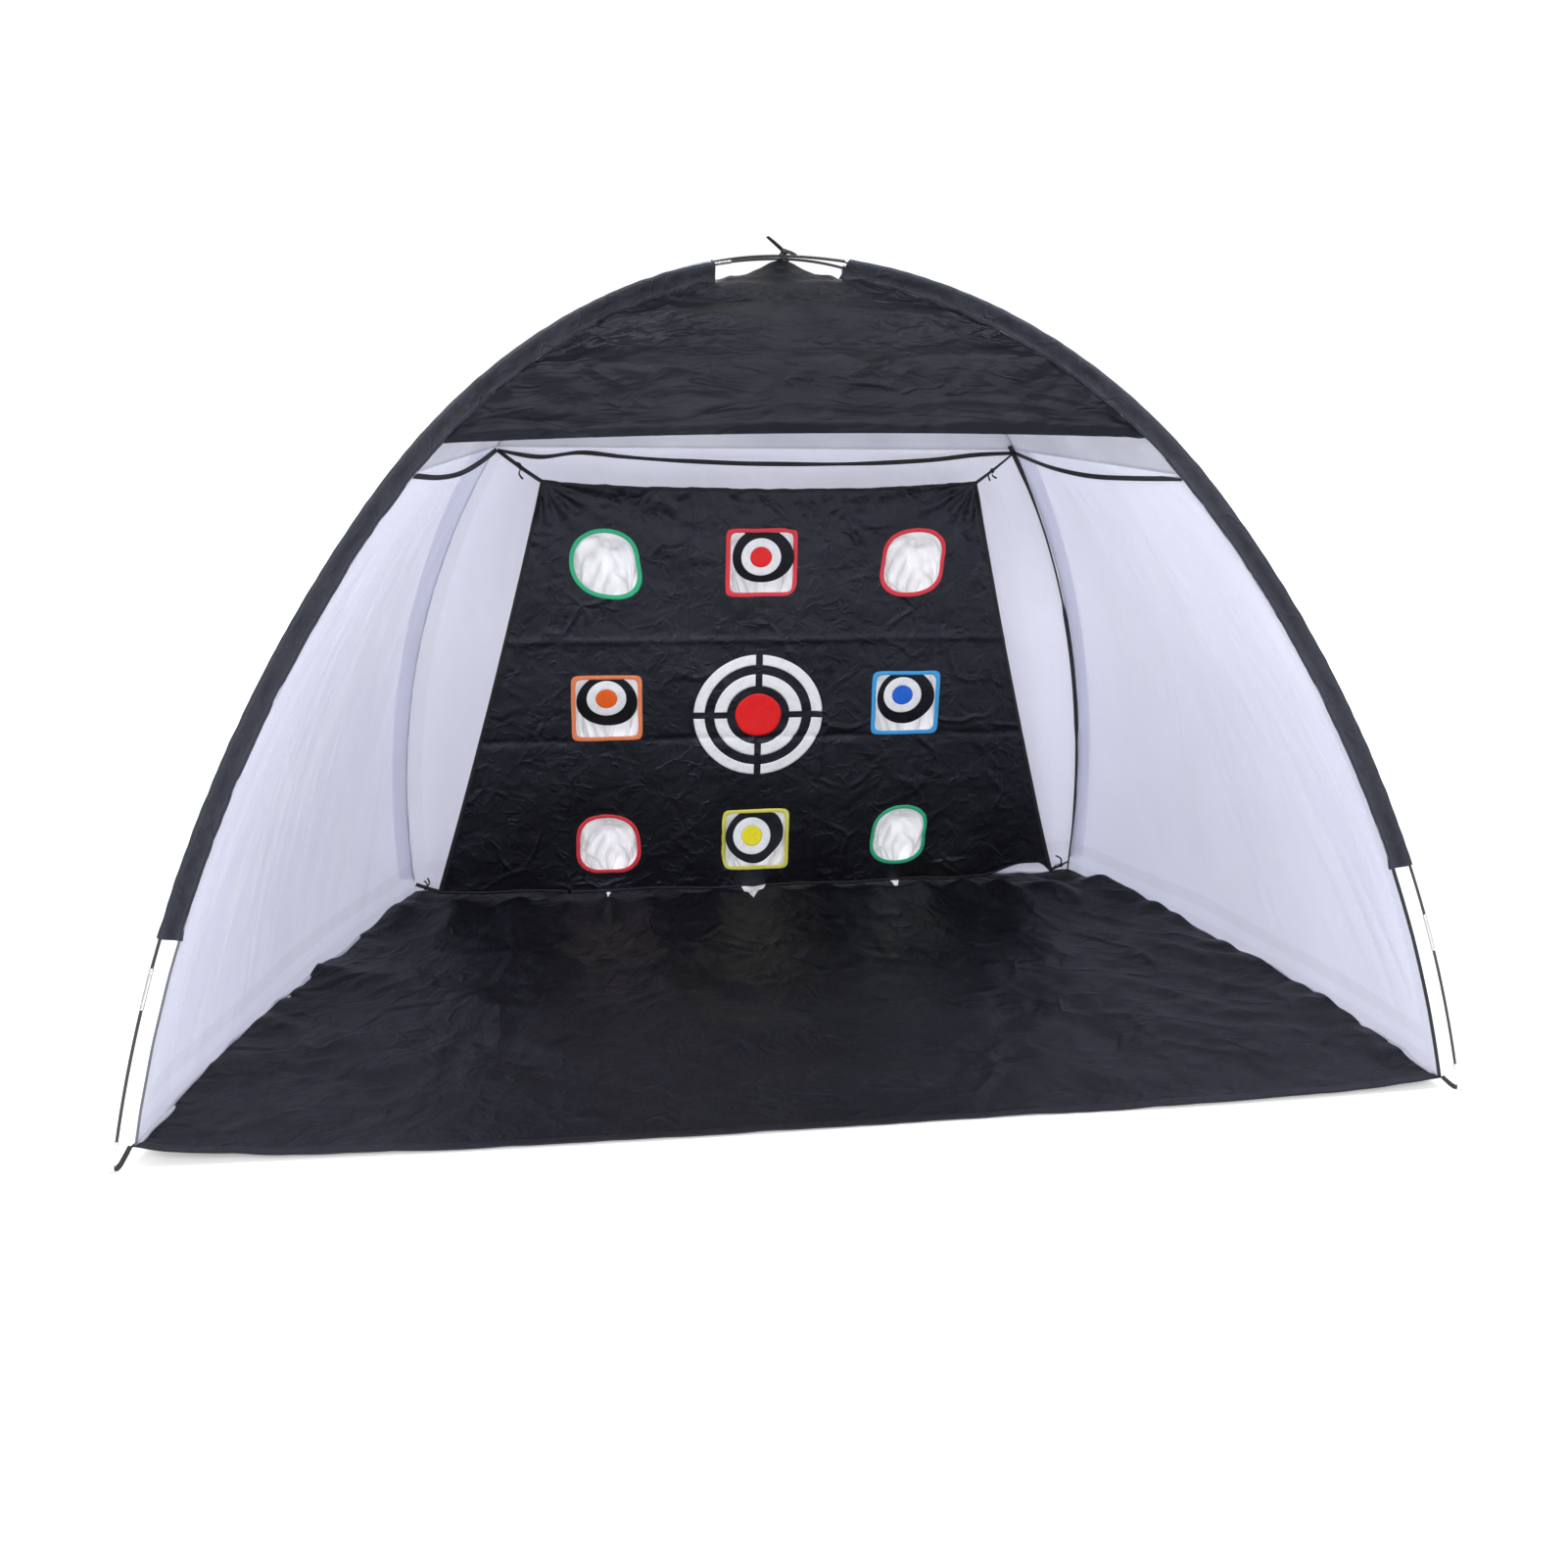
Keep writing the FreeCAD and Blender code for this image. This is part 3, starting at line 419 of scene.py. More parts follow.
# scale and depth are those of the folds, and stitches lie this far across the cloth
cloths = {
    "sleeve": {"colour": (0.019, 0.02, 0.0265), "roughness": 0.42, "sheen": 0.03, "shine": 0.4, "scale": 14,
               "depth": 0.007, "stitches": (0.0355, 0.0645)},
    "valance": {"colour": (0.006, 0.0065, 0.0092), "roughness": 0.21, "sheen": 0.0, "shine": 0.15, "scale": 4,
                "depth": 0.03, "stretch": (0.6, 1.4, 1)},
    "hem": {"colour": (0.0085, 0.009, 0.012), "roughness": 0.4, "shine": 0.25, "sheen": 0.0, "scale": 12,
            "depth": 0.003, "stitches": (0.0235,)},
    "floorCloth": {"colour": (0.0076, 0.0079, 0.0106), "roughness": 0.35, "shine": 0.14, "sheen": 0.0,
                   "scale": 3.1, "depth": 0.045},
    "target": {"colour": (0.0066, 0.0068, 0.009), "roughness": 0.28, "shine": 0.5, "sheen": 0.0, "scale": 6,
               "depth": 0.016},
    "flap": {"colour": (0.005, 0.005, 0.0065), "roughness": 0.42, "shine": 0.3, "sheen": 0.0, "scale": 16,
             "depth": 0.004},
    "roof": {"colour": (0.8, 0.81, 0.88), "roughness": 0.7, "glow": 0.5, "scale": 2.4, "depth": 0.012},
    "whiteSleeve": {"colour": (0.42, 0.43, 0.52), "roughness": 0.7, "scale": 12, "depth": 0.003},
}
nets = {
    "net": {"colour": (0.765, 0.782, 0.93), "openShare": 0.36, "hems": 0.045},
    # The bag's emission is painted light, and its crush paints shade along its creases as well as giving
    # their bump
    "bag": {"colour": (0.95, 0.95, 0.97), "openShare": -0.1, "glow": 0.15, "crush": 0.02, "paintedGlow": 0.3},
    "roll": {"colour": (0.78, 0.79, 0.88), "openShare": 0.05, "glow": 0.2},
}
tapeColours = {"red": (0.78, 0.036, 0.058), "green": (0.026, 0.48, 0.22), "orange": (0.95, 0.24, 0.09),
               "blue": (0.045, 0.38, 0.8), "yellow": (0.92, 0.84, 0.13)}
printColours = {"white": (0.96, 0.975, 1.0), "red": (0.9, 0.005, 0.008), "orange": (0.97, 0.14, 0.012),
                "blue": (0.005, 0.14, 0.72), "yellow": (0.98, 0.87, 0.005)}
materials = {}


def makeMaterials():
    for name, cloth in cloths.items():
        materials[name] = taffeta(name, **cloth)
    for name, net in nets.items():
        materials[name] = netting(name, **net)
    materials["webbing"] = webbing("webbing", (0.01, 0.01, 0.012))
    materials["greyTape"] = webbing("grey_tape", (0.13, 0.13, 0.15))
    for name, colour in tapeColours.items():
        materials[name + "Tape"] = webbing(name + "_tape", colour, 0.6)
    for name, colour in printColours.items():
        materials[name] = printed(name + "_print", colour)
    materials["fibre"] = glassFibre("fibre")
    materials["steel"] = steel("steel")


# Shape helpers

mergeDistance = 0.00002           # points nearer than this become one


def soft(x, y, seed, stretch=(1, 1)):
    return noise.noise(Vector((x * stretch[0], y * stretch[1], seed)))


def ease(t):
    t = min(1, max(0, t))
    return t * t * (3 - 2 * t)


def mixed(a, b, t):
    return a + (b - a) * t


# A patch of counts cells, moved to place(u, v), with its flat size kept as its UV
def addGrid(bm, counts, place, size):
    verts = bmesh.ops.create_grid(bm, x_segments=counts[0], y_segments=counts[1], size=1)["verts"]
    layer = bm.loops.layers.uv.verify()
    for face in {face for vert in verts for face in vert.link_faces}:
        for loop in face.loops:
            spot = loop.vert.co
            loop[layer].uv = ((spot.x + 1) / 2 * size[0], (spot.y + 1) / 2 * size[1])
    for vert in verts:
        vert.co = place((vert.co.x + 1) / 2, (vert.co.y + 1) / 2)


# Sharp-edged wrinkles, with a ridge wherever the noise crosses zero
def fold(x, y, seed, scale):
    bend = 0.4 * soft(x, y, seed + 0.5, (scale * 0.6, scale * 0.6)) / scale
    return 0.3 - abs(soft(x + bend, y - bend, seed, (scale, scale)))


def closeUp(bm, ends=False):
    bmesh.ops.remove_doubles(bm, verts=bm.verts, dist=mergeDistance)
    if ends:
        bmesh.ops.holes_fill(bm, edges=bm.edges, sides=0)
    bmesh.ops.recalc_face_normals(bm, faces=bm.faces)


def addPiece(name, bm, material, body="tent", slot=None, instead=(), thickness=0.0):
    for face in bm.faces:
        face.smooth = True
    mesh = bpy.data.meshes.new(name)
    bm.to_mesh(mesh)
    bm.free()
    obj = bpy.data.objects.new(name, mesh)
    bpy.context.collection.objects.link(obj)
    mesh.materials.append(materials[material])
    if thickness:
        thicken = obj.modifiers.new("thickness", "SOLIDIFY")
        thicken.thickness = thickness
        thicken.offset = 0
    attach(obj, body)
    if instead:
        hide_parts(*instead)
    return obj


def gridPiece(name, counts, place, material, size, closed=False, **more):
    bm = bmesh.new()
    addGrid(bm, counts, place, size)
    if closed:
        closeUp(bm)
    return addPiece(name, bm, material, **more)


# A smooth curve through given points, 0 to 1 along it
def curveAt(spots, t):
    at = t * (len(spots) - 1)
    i = min(int(at), len(spots) - 2)
    f = at - i
    a, b, c, d = (spots[max(0, min(len(spots) - 1, i + k))] for k in (-1, 0, 1, 2))
    square, cube = 2 * a - 5 * b + 4 * c - d, 3 * b - a - 3 * c + d
    return 0.5 * (2 * b + (c - a) * f + square * f * f + cube * f ** 3)


def addRibbon(bm, points, width, side=up, steps=30, turn=None, taper=None):
    spots = [Vector(p) for p in points]

    def place(u, v):
        here = curveAt(spots, u)
        along = (curveAt(spots, min(1, u + 0.01)) - curveAt(spots, max(0, u - 0.01))).normalized()
        across = (side - along * side.dot(along)).normalized()
        if turn:
            across = Matrix.Rotation(turn(u), 3, along) @ across
        wide = width * (taper(u) if taper else 1)
        return here + across * wide * (v - 0.5)

    length = sum((b - a).length for a, b in zip(spots, spots[1:]))
    addGrid(bm, (steps, 2), place, (length, width))


def ribbonPiece(name, points, width, material, thickness=0.001, **more):
    shape = {key: more.pop(key) for key in ("side", "steps", "turn", "taper") if key in more}
    bm = bmesh.new()
    addRibbon(bm, points, width, **shape)
    return addPiece(name, bm, material, thickness=thickness, **more)


# Small hard knot: a ball with wound grooves
def addKnot(bm, middle, size, seed):
    made = bmesh.ops.create_uvsphere(bm, u_segments=24, v_segments=16, radius=1)
    for vert in made["verts"]:
        p = vert.co.copy()
        groove = 0.12 * math.sin(5 * p.z + 3 * math.atan2(p.y, p.x))
        lump = 0.22 * soft(p.x * 1.6 + p.z, p.y * 1.6 - p.z, seed)
        reach = Vector((p.x * size[0], p.y * size[1], p.z * size[2]))
        vert.co = Vector(middle) + reach * (1 + groove + lump)


# Work out what the cloth was cut to: its widest run and the length that its own area then gives. The results
# are not kept
def declareSheet(obj, carrier):
    mesh = obj.data
    area = sum(face.area for face in mesh.polygons)
    corners = [Vector(corner) for corner in obj.bound_box]
    spans = sorted(max(c[i] for c in corners) - min(c[i] for c in corners) for i in range(3))
    wide = max(spans[2], 0.05)
    long = max(area / wide, spans[1])


# The poles' path, which every cloth piece follows

def makeLeg(footX, footY, top, bend):
    plan = Vector((-footX, crossingY - footY, 0))
    run = plan.length
    inset, bendHeight = bend[0] * run, bend[1] * tent["apexHeight"]
    reach, rise = run - inset, top - bendHeight
    radius = (reach ** 2 + rise ** 2) / (2 * rise)
    toS, toZ = reach / radius, (top - radius - bendHeight) / radius
    lower = -(inset ** 2 + bendHeight ** 2) / (2 * (inset * toS + bendHeight * toZ))
    leg = {"foot": Vector((footX, footY, 0)), "inward": plan / run, "bend": bendHeight,
           "normal": (plan / run).cross(up),
           "upper": (run, top - radius, radius),
           "lower": (inset + lower * toS, bendHeight + lower * toZ, lower)}
    leg["lowerLength"] = lower * (turnAt(leg, "lower", 0) - turnAt(leg, "lower", bendHeight))
    leg["length"] = leg["lowerLength"] + radius * turnAt(leg, "upper", bendHeight)
    return leg


# Angle from straight up at which one of a leg's two arcs, moved inward, reaches a height
def turnAt(leg, part, z, inward=0.0):
    c, r = leg[part][1:]
    return math.acos((z - c) / (r - inward))


def legPlace(leg, s, z, across=0.0):
    return leg["foot"] + leg["inward"] * s + up * z + leg["normal"] * across


def onArc(leg, part, turn, inward, across=0.0):
    s, c, r = leg[part]
    return legPlace(leg, s - (r - inward) * math.sin(turn), c + (r - inward) * math.cos(turn), across)


def legAt(leg, z, inward=0.0):
    s, c, r = leg["lower"] if z <= leg["bend"] else leg["upper"]
    return legPlace(leg, s - math.sqrt(max(0, (r - inward) ** 2 - (z - c) ** 2)), z)


def lengthAt(leg, z):
    if z <= leg["bend"]:
        return leg["lower"][2] * (turnAt(leg, "lower", 0) - turnAt(leg, "lower", z))
    return leg["length"] - leg["upper"][2] * turnAt(leg, "upper", z)


# A point of the cross-section that stands square to the pole, at a length from the foot
def legAlong(leg, length, inward=0.0, across=0.0):
    if length <= leg["lowerLength"]:
        return onArc(leg, "lower", turnAt(leg, "lower", 0) - length / leg["lower"][2], inward, across)
    return onArc(leg, "upper", (leg["length"] - length) / leg["upper"][2], inward, across)


lowTop = tent["apexHeight"] - tent["crossShift"]
highTop = tent["apexHeight"] + tent["crossShift"]
frontLeft = makeLeg(-tent["frontHalf"], tent["frontY"], lowTop, tent["frontBend"])
rearRight = makeLeg(tent["rearHalf"], rearY, lowTop, tent["rearBend"])
frontRight = makeLeg(tent["frontHalf"], tent["frontY"], highTop, tent["frontBend"])
rearLeft = makeLeg(-tent["rearHalf"], rearY, highTop, tent["rearBend"])
legs = {"front_left": frontLeft, "front_right": frontRight, "rear_left": rearLeft, "rear_right": rearRight}
for name, leg in legs.items():
    leg["crown"], leg["lift"] = tent["crownReach"][name], tent["cornerLift"][name]
    leg["seam"] = seamHeight + (tent["seamFrontRise"] if name.startswith("front") else 0)
    leg["hem"] = seamHeight + tent["hemAbove"] + tent["hemRise"][name]


def crownLength(leg):
    return leg["length"] - leg["crown"]


# Along a panel's sewn edge, from level with one height to level with another, or to the crown
def panelEdge(leg, low, high, share, inward):
    bend = turnAt(leg, "upper", leg["bend"])
    end = math.asin(leg["crown"] / leg["upper"][2]) if high is None else turnAt(leg, "upper", high, inward)
    below = max(0, turnAt(leg, "lower", low, inward) - bend) if low < leg["bend"] else 0
    start = bend if low < leg["bend"] else turnAt(leg, "upper", low, inward)
    lower, upper = (leg[part][2] - inward for part in ("lower", "upper"))
    at = share * (lower * below + upper * (start - end))
    if at < lower * below:
        return onArc(leg, "lower", bend + below - at / lower, inward)
    return onArc(leg, "upper", start - (at - lower * below) / upper, inward)


# Poles, their ferrules and the eye pins

pole = {
    "radius": 0.0035,
    "ferrule": 0.0046,            # its radius
    "ferruleLength": 0.09,
    "crimp": 0.00045,             # depth of its two rings
    "first": 0.4,                 # from a front foot to the first ferrule, and from there on
    "section": 0.56,
    "foot": 0.058,                # where the rods end above the pins
    "gap": 0.0005,
}


# Along a whole pole, from the front foot over the crossing to the rear foot
def poleAlong(pair, length, inward, across):
    front, rear = pair
    if length <= front["length"]:
        return legAlong(front, length, inward, across)
    return legAlong(rear, front["length"] + rear["length"] - length, inward, -across)


def addTube(bm, pair, start, end, profile, sides=20, step=0.02):
    def place(u, v):
        radius = profile(v)
        angle = 2 * math.pi * u
        return poleAlong(pair, mixed(start, end, v), radius * math.cos(angle), radius * math.sin(angle))

    count = max(6, int((end - start) / step))
    addGrid(bm, (sides, count), place, (2 * math.pi * profile(0.5), end - start))


def rodProfile(v):
    return pole["radius"] * (1 if 0.002 < v < 0.998 else 0.86)


# Tube with turned-in ends and two crimped rings
def ferruleProfile(v):
    edge = min(v, 1 - v)
    crimp = pole["crimp"] * math.exp(-((edge - 0.13) / 0.025) ** 2)
    return pole["ferrule"] * (0.9 if edge < 0.012 else 1) - crimp


def makePoles():
    for letter, pair in (("a", (frontLeft, rearRight)), ("b", (frontRight, rearLeft))):
        total = pair[0]["length"] + pair[1]["length"]
        joints = [pole["first"]]
        while joints[-1] + 1.5 * pole["section"] < total:
            joints.append(joints[-1] + pole["section"])
        ends = [pole["foot"]] + joints + [total - pole["foot"]]
        rods, tubes = bmesh.new(), bmesh.new()
        for start, end in zip(ends, ends[1:]):
            addTube(rods, pair, start + pole["gap"] / 2, end - pole["gap"] / 2, rodProfile)
        half = pole["ferruleLength"] / 2
        for joint in joints:
            addTube(tubes, pair, joint - half, joint + half, ferruleProfile, 24, 0.002)
        for bm, part, material, slot, node in ((rods, "sections", "fibre", "fibreglass", "rods"),
                                               (tubes, "joints", "steel", "steel", "ferrules")):
            closeUp(bm, True)
            addPiece(f"pole_{letter}_{part}", bm, material, slot=slot, instead=(f"pole_{letter}_{node}",))


# Radii, and the length of the pin's collar
eye = {"radius": 0.008, "wire": 0.0017, "pin": 0.00225, "collar": 0.0042, "collarLength": 0.012}


def addWireRing(bm, centre, axis, outward):
    made = bmesh.ops.create_circle(bm, segments=16, radius=eye["wire"])
    turn = Matrix((outward, axis, outward.cross(axis))).transposed()
    for vert in made["verts"]:
        vert.co = centre + turn @ (Vector((vert.co.x + eye["radius"], vert.co.y, 0)))
    edges = list({edge for vert in made["verts"] for edge in vert.link_edges})
    bmesh.ops.spin(bm, geom=made["verts"] + edges, cent=centre, axis=axis, angle=2 * math.pi, steps=40,
                   use_merge=True)


# Straight round bar whose radius follows a list of (share along, radius)
def addRodBetween(bm, start, end, radii, sides=16):
    along = (end - start).normalized()
    side = along.orthogonal().normalized()
    other = along.cross(side)

    def place(u, v):
        at = v * (len(radii) - 1)
        i = min(int(at + 1e-6), len(radii) - 2)
        share, radius = (mixed(radii[i][k], radii[i + 1][k], at - i) for k in (0, 1))
        angle = 2 * math.pi * u
        return mixed(start, end, share) + (side * math.cos(angle) + other * math.sin(angle)) * radius

    addGrid(bm, (sides, len(radii) - 1), place, (2 * math.pi * radii[0][1], (end - start).length))


def makeEyePins():
    bm = bmesh.new()
    height = eye["radius"] + eye["wire"]
    for leg in legs.values():
        centre = legPlace(leg, 0, height)
        addWireRing(bm, centre, leg["normal"], up)
        top = legAlong(leg, pole["foot"])
        inside = legAlong(leg, pole["foot"] + 0.004)
        foot = centre + up * (height - 0.0004)
        pin = eye["pin"]
        addRodBetween(bm, foot, top, ((0, pin * 0.5), (0.03, pin * 0.9), (0.1, pin), (1, pin)))
        collar = eye["collar"]
        reach = (inside - top).normalized() * eye["collarLength"]
        rounded = ((0, pin), (0, collar * 0.9), (0.1, collar), (0.9, collar), (1, collar * 0.9), (1, pin))
        addRodBetween(bm, top - reach * 0.1, top + reach, rounded)
    closeUp(bm)
    addPiece("eyes_and_pins", bm, "steel", slot="steel", instead=("eye_pins",))


# Sleeves and bindings

sleeve = {
    "width": 0.0455,              # from the pole's centre to the sewn edge
    "channel": 0.0066,            # radius round the pole
    "edge": 0.0011,               # half the thickness at the sewn edge
    "leftFoot": 0.49,             # heights at which the sleeves start
    "rightFoot": 0.545,
    "rearFoot": 0.06,
    "pucker": 0.0046,
    "flare": 0.35,                # how much the mouth opens, and over which length
    "flareReach": 0.035,
    "rightSlant": 0.024,          # the right one's upper end is cut aslant
    "counts": (28, 380),
}
frontBinding = {"low": 0.013, "inset": 0.0445, "zigzag": 0.0006, "thickness": 0.0014, "leftWidth": 0.0055,
                "rightWidth": 0.0085}


# Teardrop round the pole: how far inwards, and how far to its side
def sleeveSection(share):
    turn = 2 * math.pi * share
    channel, width = sleeve["channel"], sleeve["width"]
    inward = -channel + (width + channel) * (1 - math.cos(turn)) / 2
    if inward < channel * 0.35:
        half = math.sqrt(max(0, channel ** 2 - inward ** 2))
    else:
        fall = (inward - channel * 0.35) / (width - channel * 0.35)
        half = mixed(channel * 0.937, sleeve["edge"], ease(fall * 1.6))
    if inward > width - sleeve["edge"]:
        half = min(half, math.sqrt(max(0, width - inward) * sleeve["edge"] * 2))
    return inward, half if math.sin(turn) >= 0 else -half


def makeSleeve(name, leg, foot, material, seed, slot, slant=0.0):
    start, end = lengthAt(leg, foot), crownLength(leg)

    def place(u, v):
        inward, across = sleeveSection(u)
        length = mixed(start, end + slant * inward / sleeve["width"], v)
        flare = 1 + sleeve["flare"] * ease((start + sleeve["flareReach"] - length) / sleeve["flareReach"])
        inward, across = inward * (1 + (flare - 1) * 0.3), across * flare
        tail = ease((inward - 0.004) / 0.016)
        gather = soft(length, inward, seed, (20, 9)) + 0.6 * fold(length, inward * 2, seed + 7, 36)
        across += tail * sleeve["pucker"] * gather
        inward += 0.0016 * soft(length, 0, seed + 3, (26, 1)) * (1 if inward < 0 else 0.5)
        return legAlong(leg, length, inward, across)

    gridPiece(name + "_cloth", sleeve["counts"], place, material, (0.1, end - start), closed=True,
              instead=(name,), slot=slot)


def makeSleeves():
    makeSleeve("front_sleeve_left", frontLeft, sleeve["leftFoot"], "sleeve", 1.0, "black_polyester")
    makeSleeve("front_sleeve_right", frontRight, sleeve["rightFoot"], "sleeve", 5.0, "black_polyester",
               sleeve["rightSlant"])
    makeSleeve("rear_sleeve_left", rearLeft, sleeve["rearFoot"], "whiteSleeve", 9.0, "white_polyester")
    makeSleeve("rear_sleeve_right", rearRight, sleeve["rearFoot"], "whiteSleeve", 13.0, "white_polyester")
    for side, leg, material in (("left", frontLeft, "greyTape"), ("right", frontRight, "webbing")):
        width = frontBinding[side + "Width"]
        start, end = (lengthAt(leg, z) for z in (frontBinding["low"] + leg["lift"], sleeve[side + "Foot"]))
        points = [legAlong(leg, mixed(start, end, i / 6), frontBinding["inset"] - width / 2,
                           frontBinding["zigzag"] * (-1) ** i) for i in range(7)]
        ribbonPiece(f"front_binding_{side}_tape", points, width, material, side=leg["inward"], steps=60,
                    slot="black_webbing", instead=(f"front_binding_{side}",),
                    thickness=frontBinding["thickness"])


# Tent panels

panel = {
    "thickness": 0.0009,
    "wallFoot": 0.0028,           # height of the walls' lower edge
    "leftBelly": (0.054, 0.05, 0.0),  # how far a wall bows out at its foot, half way up and at its top
    "rightBelly": (0.078, 0.055, 0.0),
    "rearBelly": (0.06, 0.09, 0.0),
    "wave": 0.007,                # heights of a wall's waves, slack and long wrinkles
    "slack": 0.012,
    "wrinkle": 0.011,
    "footWave": 0.008,
    "roll": 0.0055,               # radius of the hem rolled up along the foot, and how much it varies
    "rollVaries": 0.0028,
    "wallCounts": (190, 120),
    "hemWidth": 0.026,
    "hemArch": 0.016,
    "hemInset": 0.0016,           # how much further than the valance its hem is from the poles
}


def bellyAt(bows, v):
    low, middle, high = bows
    return low * (1 - v) * (1 - 2 * v) + 4 * middle * v * (1 - v) + high * v * (2 * v - 1)


# 0 on the sewn edges of a panel, 1 away from them
def stillness(u, v, across, along):
    return ease(u / across) * ease((1 - u) / across) * ease(v / along) * ease((1 - v) / along)


# Net wall with a wavy foot. pull leans its long wrinkles towards one of its ends.
def makeWall(name, one, two, bows, outward, waves, seed, pull):
    size = ((two["foot"] - one["foot"]).length, seamHeight)

    def place(u, v):
        heights = (mixed(panel["wallFoot"] + leg["lift"], leg["seam"], v) for leg in (one, two))
        a, b = (legAt(leg, z, tent["panelOffset"]) for leg, z in zip((one, two), heights))
        x, y = u * size[0], v * size[1]
        out = bellyAt(bows, v) * 4 * u * (1 - u)
        still = stillness(u, v, 0.07, 0.09)
        wave = math.sin(2 * math.pi * waves * u + 1.4 * soft(u, v, seed + 3, (2, 1.5)))
        leaned = x + pull * y
        long = fold(3.2 * leaned, 0.7 * y, seed, 1.6) + 0.5 * fold(8 * leaned, 1.1 * y, seed + 1, 1.3)
        slack = panel["slack"] * soft(x, y, seed + 1, (2.4, 1.3))
        out += still * (panel["wave"] * wave + slack + panel["wrinkle"] * long)
        foot = ease(u / 0.06) * ease((1 - u) / 0.06) * (1 - ease(v / 0.04))
        out += foot * panel["footWave"] * soft(x, 0, seed + 5, (6, 1))
        drop = one["lift"] * (1 - u - math.exp(-u / tent["liftReach"])) * (1 - v) ** 6
        return mixed(a, b, u) + outward * out - up * drop

    obj = gridPiece(name + "_cloth", panel["wallCounts"], place, "net", size, thickness=panel["thickness"],
                    slot="white_mesh", instead=(name,))

    def roll(u, v):
        spot = place(v, 0.0)
        turn = 2 * math.pi * u
        thick = panel["roll"] + panel["rollVaries"] * soft(v * size[0], 0, seed + 6, (9, 1))
        thick *= ease(v / 0.03) * ease((1 - v) / 0.03) + 0.15
        return spot + up * (thick * (1 + math.sin(turn))) - outward * thick * (0.4 + math.cos(turn))

    hem = gridPiece(name + "_foot_roll", (10, 200), roll, "roll", (0.04, size[0]), closed=True,
                    slot="white_mesh")
    declareSheet(obj, name)


# Cloth between two legs, from a height named low up to the crown, or only a band of a given width
def makePanel(name, one, two, low, band, material, ripple, counts, outward, offset=0.0, arch=0.0, **more):
    def edge(leg, v):
        return panelEdge(leg, leg[low], leg[low] + band if band else None, v, tent["panelOffset"] + offset)

    def place(u, v):
        rise = arch * 4 * u * (1 - u) * (1 if band else (1 - v) ** 5)
        return mixed(edge(one, v), edge(two, v), u) + outward * ripple(u, v) + up * rise

    ends = [edge(one, share) for share in (0, 0.5, 1)]
    tall = (ends[1] - ends[0]).length + (ends[2] - ends[1]).length
    size = ((edge(two, 0) - edge(one, 0)).length, tall)
    obj = gridPiece(name + "_cloth", counts, place, material, size, thickness=panel["thickness"],
                    instead=(name,), **more)
    declareSheet(obj, name)


valance = {
    "bottomWidth": 1.73,
    "topWidth": 0.33,
    "height": 0.56,
    "creaseWidth": 1.3,           # the width that counts for the creases
    "rolls": 0.013,               # heights of its rolls, swells, folds, sharp creases and gathers
    "swell": 0.011,
    "bigFold": 0.014,
    "smallFold": 0.007,
    "crease": 0.0045,
    "gather": 0.0045,
    "counts": (260, 150),
}
# Its sharp creases: across and up at one end, then at the other
valanceCreases = ((0.16, 0.9, 0.45, 0.73), (0.44, 0.88, 0.65, 0.74), (0.47, 0.8, 0.6, 0.64),
                  (0.52, 0.5, 0.62, 0.3), (0.3, 0.42, 0.37, 0.2), (0.71, 0.5, 0.66, 0.28),
                  (0.22, 0.3, 0.34, 0.26), (0.79, 0.34, 0.88, 0.12))


# Strength of the nearest sharp crease, 1 on its line
def creaseAt(u, v):
    wide, tall = valance["creaseWidth"], valance["height"]
    height = 0
    for u1, v1, u2, v2 in valanceCreases:
        along = Vector(((u2 - u1) * wide, (v2 - v1) * tall))
        here = Vector(((u - u1) * wide, (v - v1) * tall))
        share = here.dot(along) / along.dot(along)
        if 0 < share < 1:
            away = abs(here.cross(along)) / along.length
            height = max(height, math.exp(-away / 0.006) * math.sin(math.pi * share) ** 0.5)
    return height


# Slack rolls that run across, sharp creases over them and gathers at both sleeves
def valanceRipple(u, v):
    wide = mixed(valance["bottomWidth"], valance["topWidth"], v)
    x, y = (u - 0.5) * wide, valance["height"] * v
    still = stillness(u, v, 0.03, 0.03)
    roll = math.sin(38 * y + 0.9 + 1.7 * soft(x, y, 23.0, (1.3, 2)))
    out = valance["rolls"] * roll * (1 - 0.65 * v) + valance["swell"] * soft(x, y, 21.0, (2.2, 7))
    out += valance["crease"] * creaseAt(u, v)
    out += valance["bigFold"] * fold(x + 0.5 * y, y, 24.0, 5)
    out += valance["smallFold"] * fold(x - 0.7 * y, y, 26.0, 11)
    edge = min(u, 1 - u) * wide
    gather = math.sin(110 * (y + 0.35 * edge) + 3 * soft(x, y, 25.0, (3, 9)))
    return still * out + valance["gather"] * gather * math.exp(-edge / 0.07) * ease(edge / 0.012)


def roofRipple(u, v):
    still = stillness(u, v, 0.04, 0.05)
    return still * (0.008 * soft(u, v, 31.0, (4, 3)) + 0.004 * fold(u * 1.4, v * 0.8, 32.0, 6))


def hemRipple(u, v):
    return 0.0012 * soft(u, v, 35.0, (60, 1))


# peak is the height to which the tie draws the cloth up, and peakShare how far out that reaches
crown = {"peak": 0.04, "peakShare": 0.4, "wrinkle": 0.002, "beyond": 0.004, "below": 0.0012,
         "flat": (0.33, 0.23), "counts": (60, 40)}


# Cloth drawn up towards the tie at the crossing
def crownPeak(u, v):
    x, y = 2 * u - 1, 2 * v - 1
    near = math.hypot(x, y)
    peak = crown["peak"] * math.exp(-(near / crown["peakShare"]) ** 2)
    return peak + crown["wrinkle"] * soft(x, y, 37.0, (6, 6))


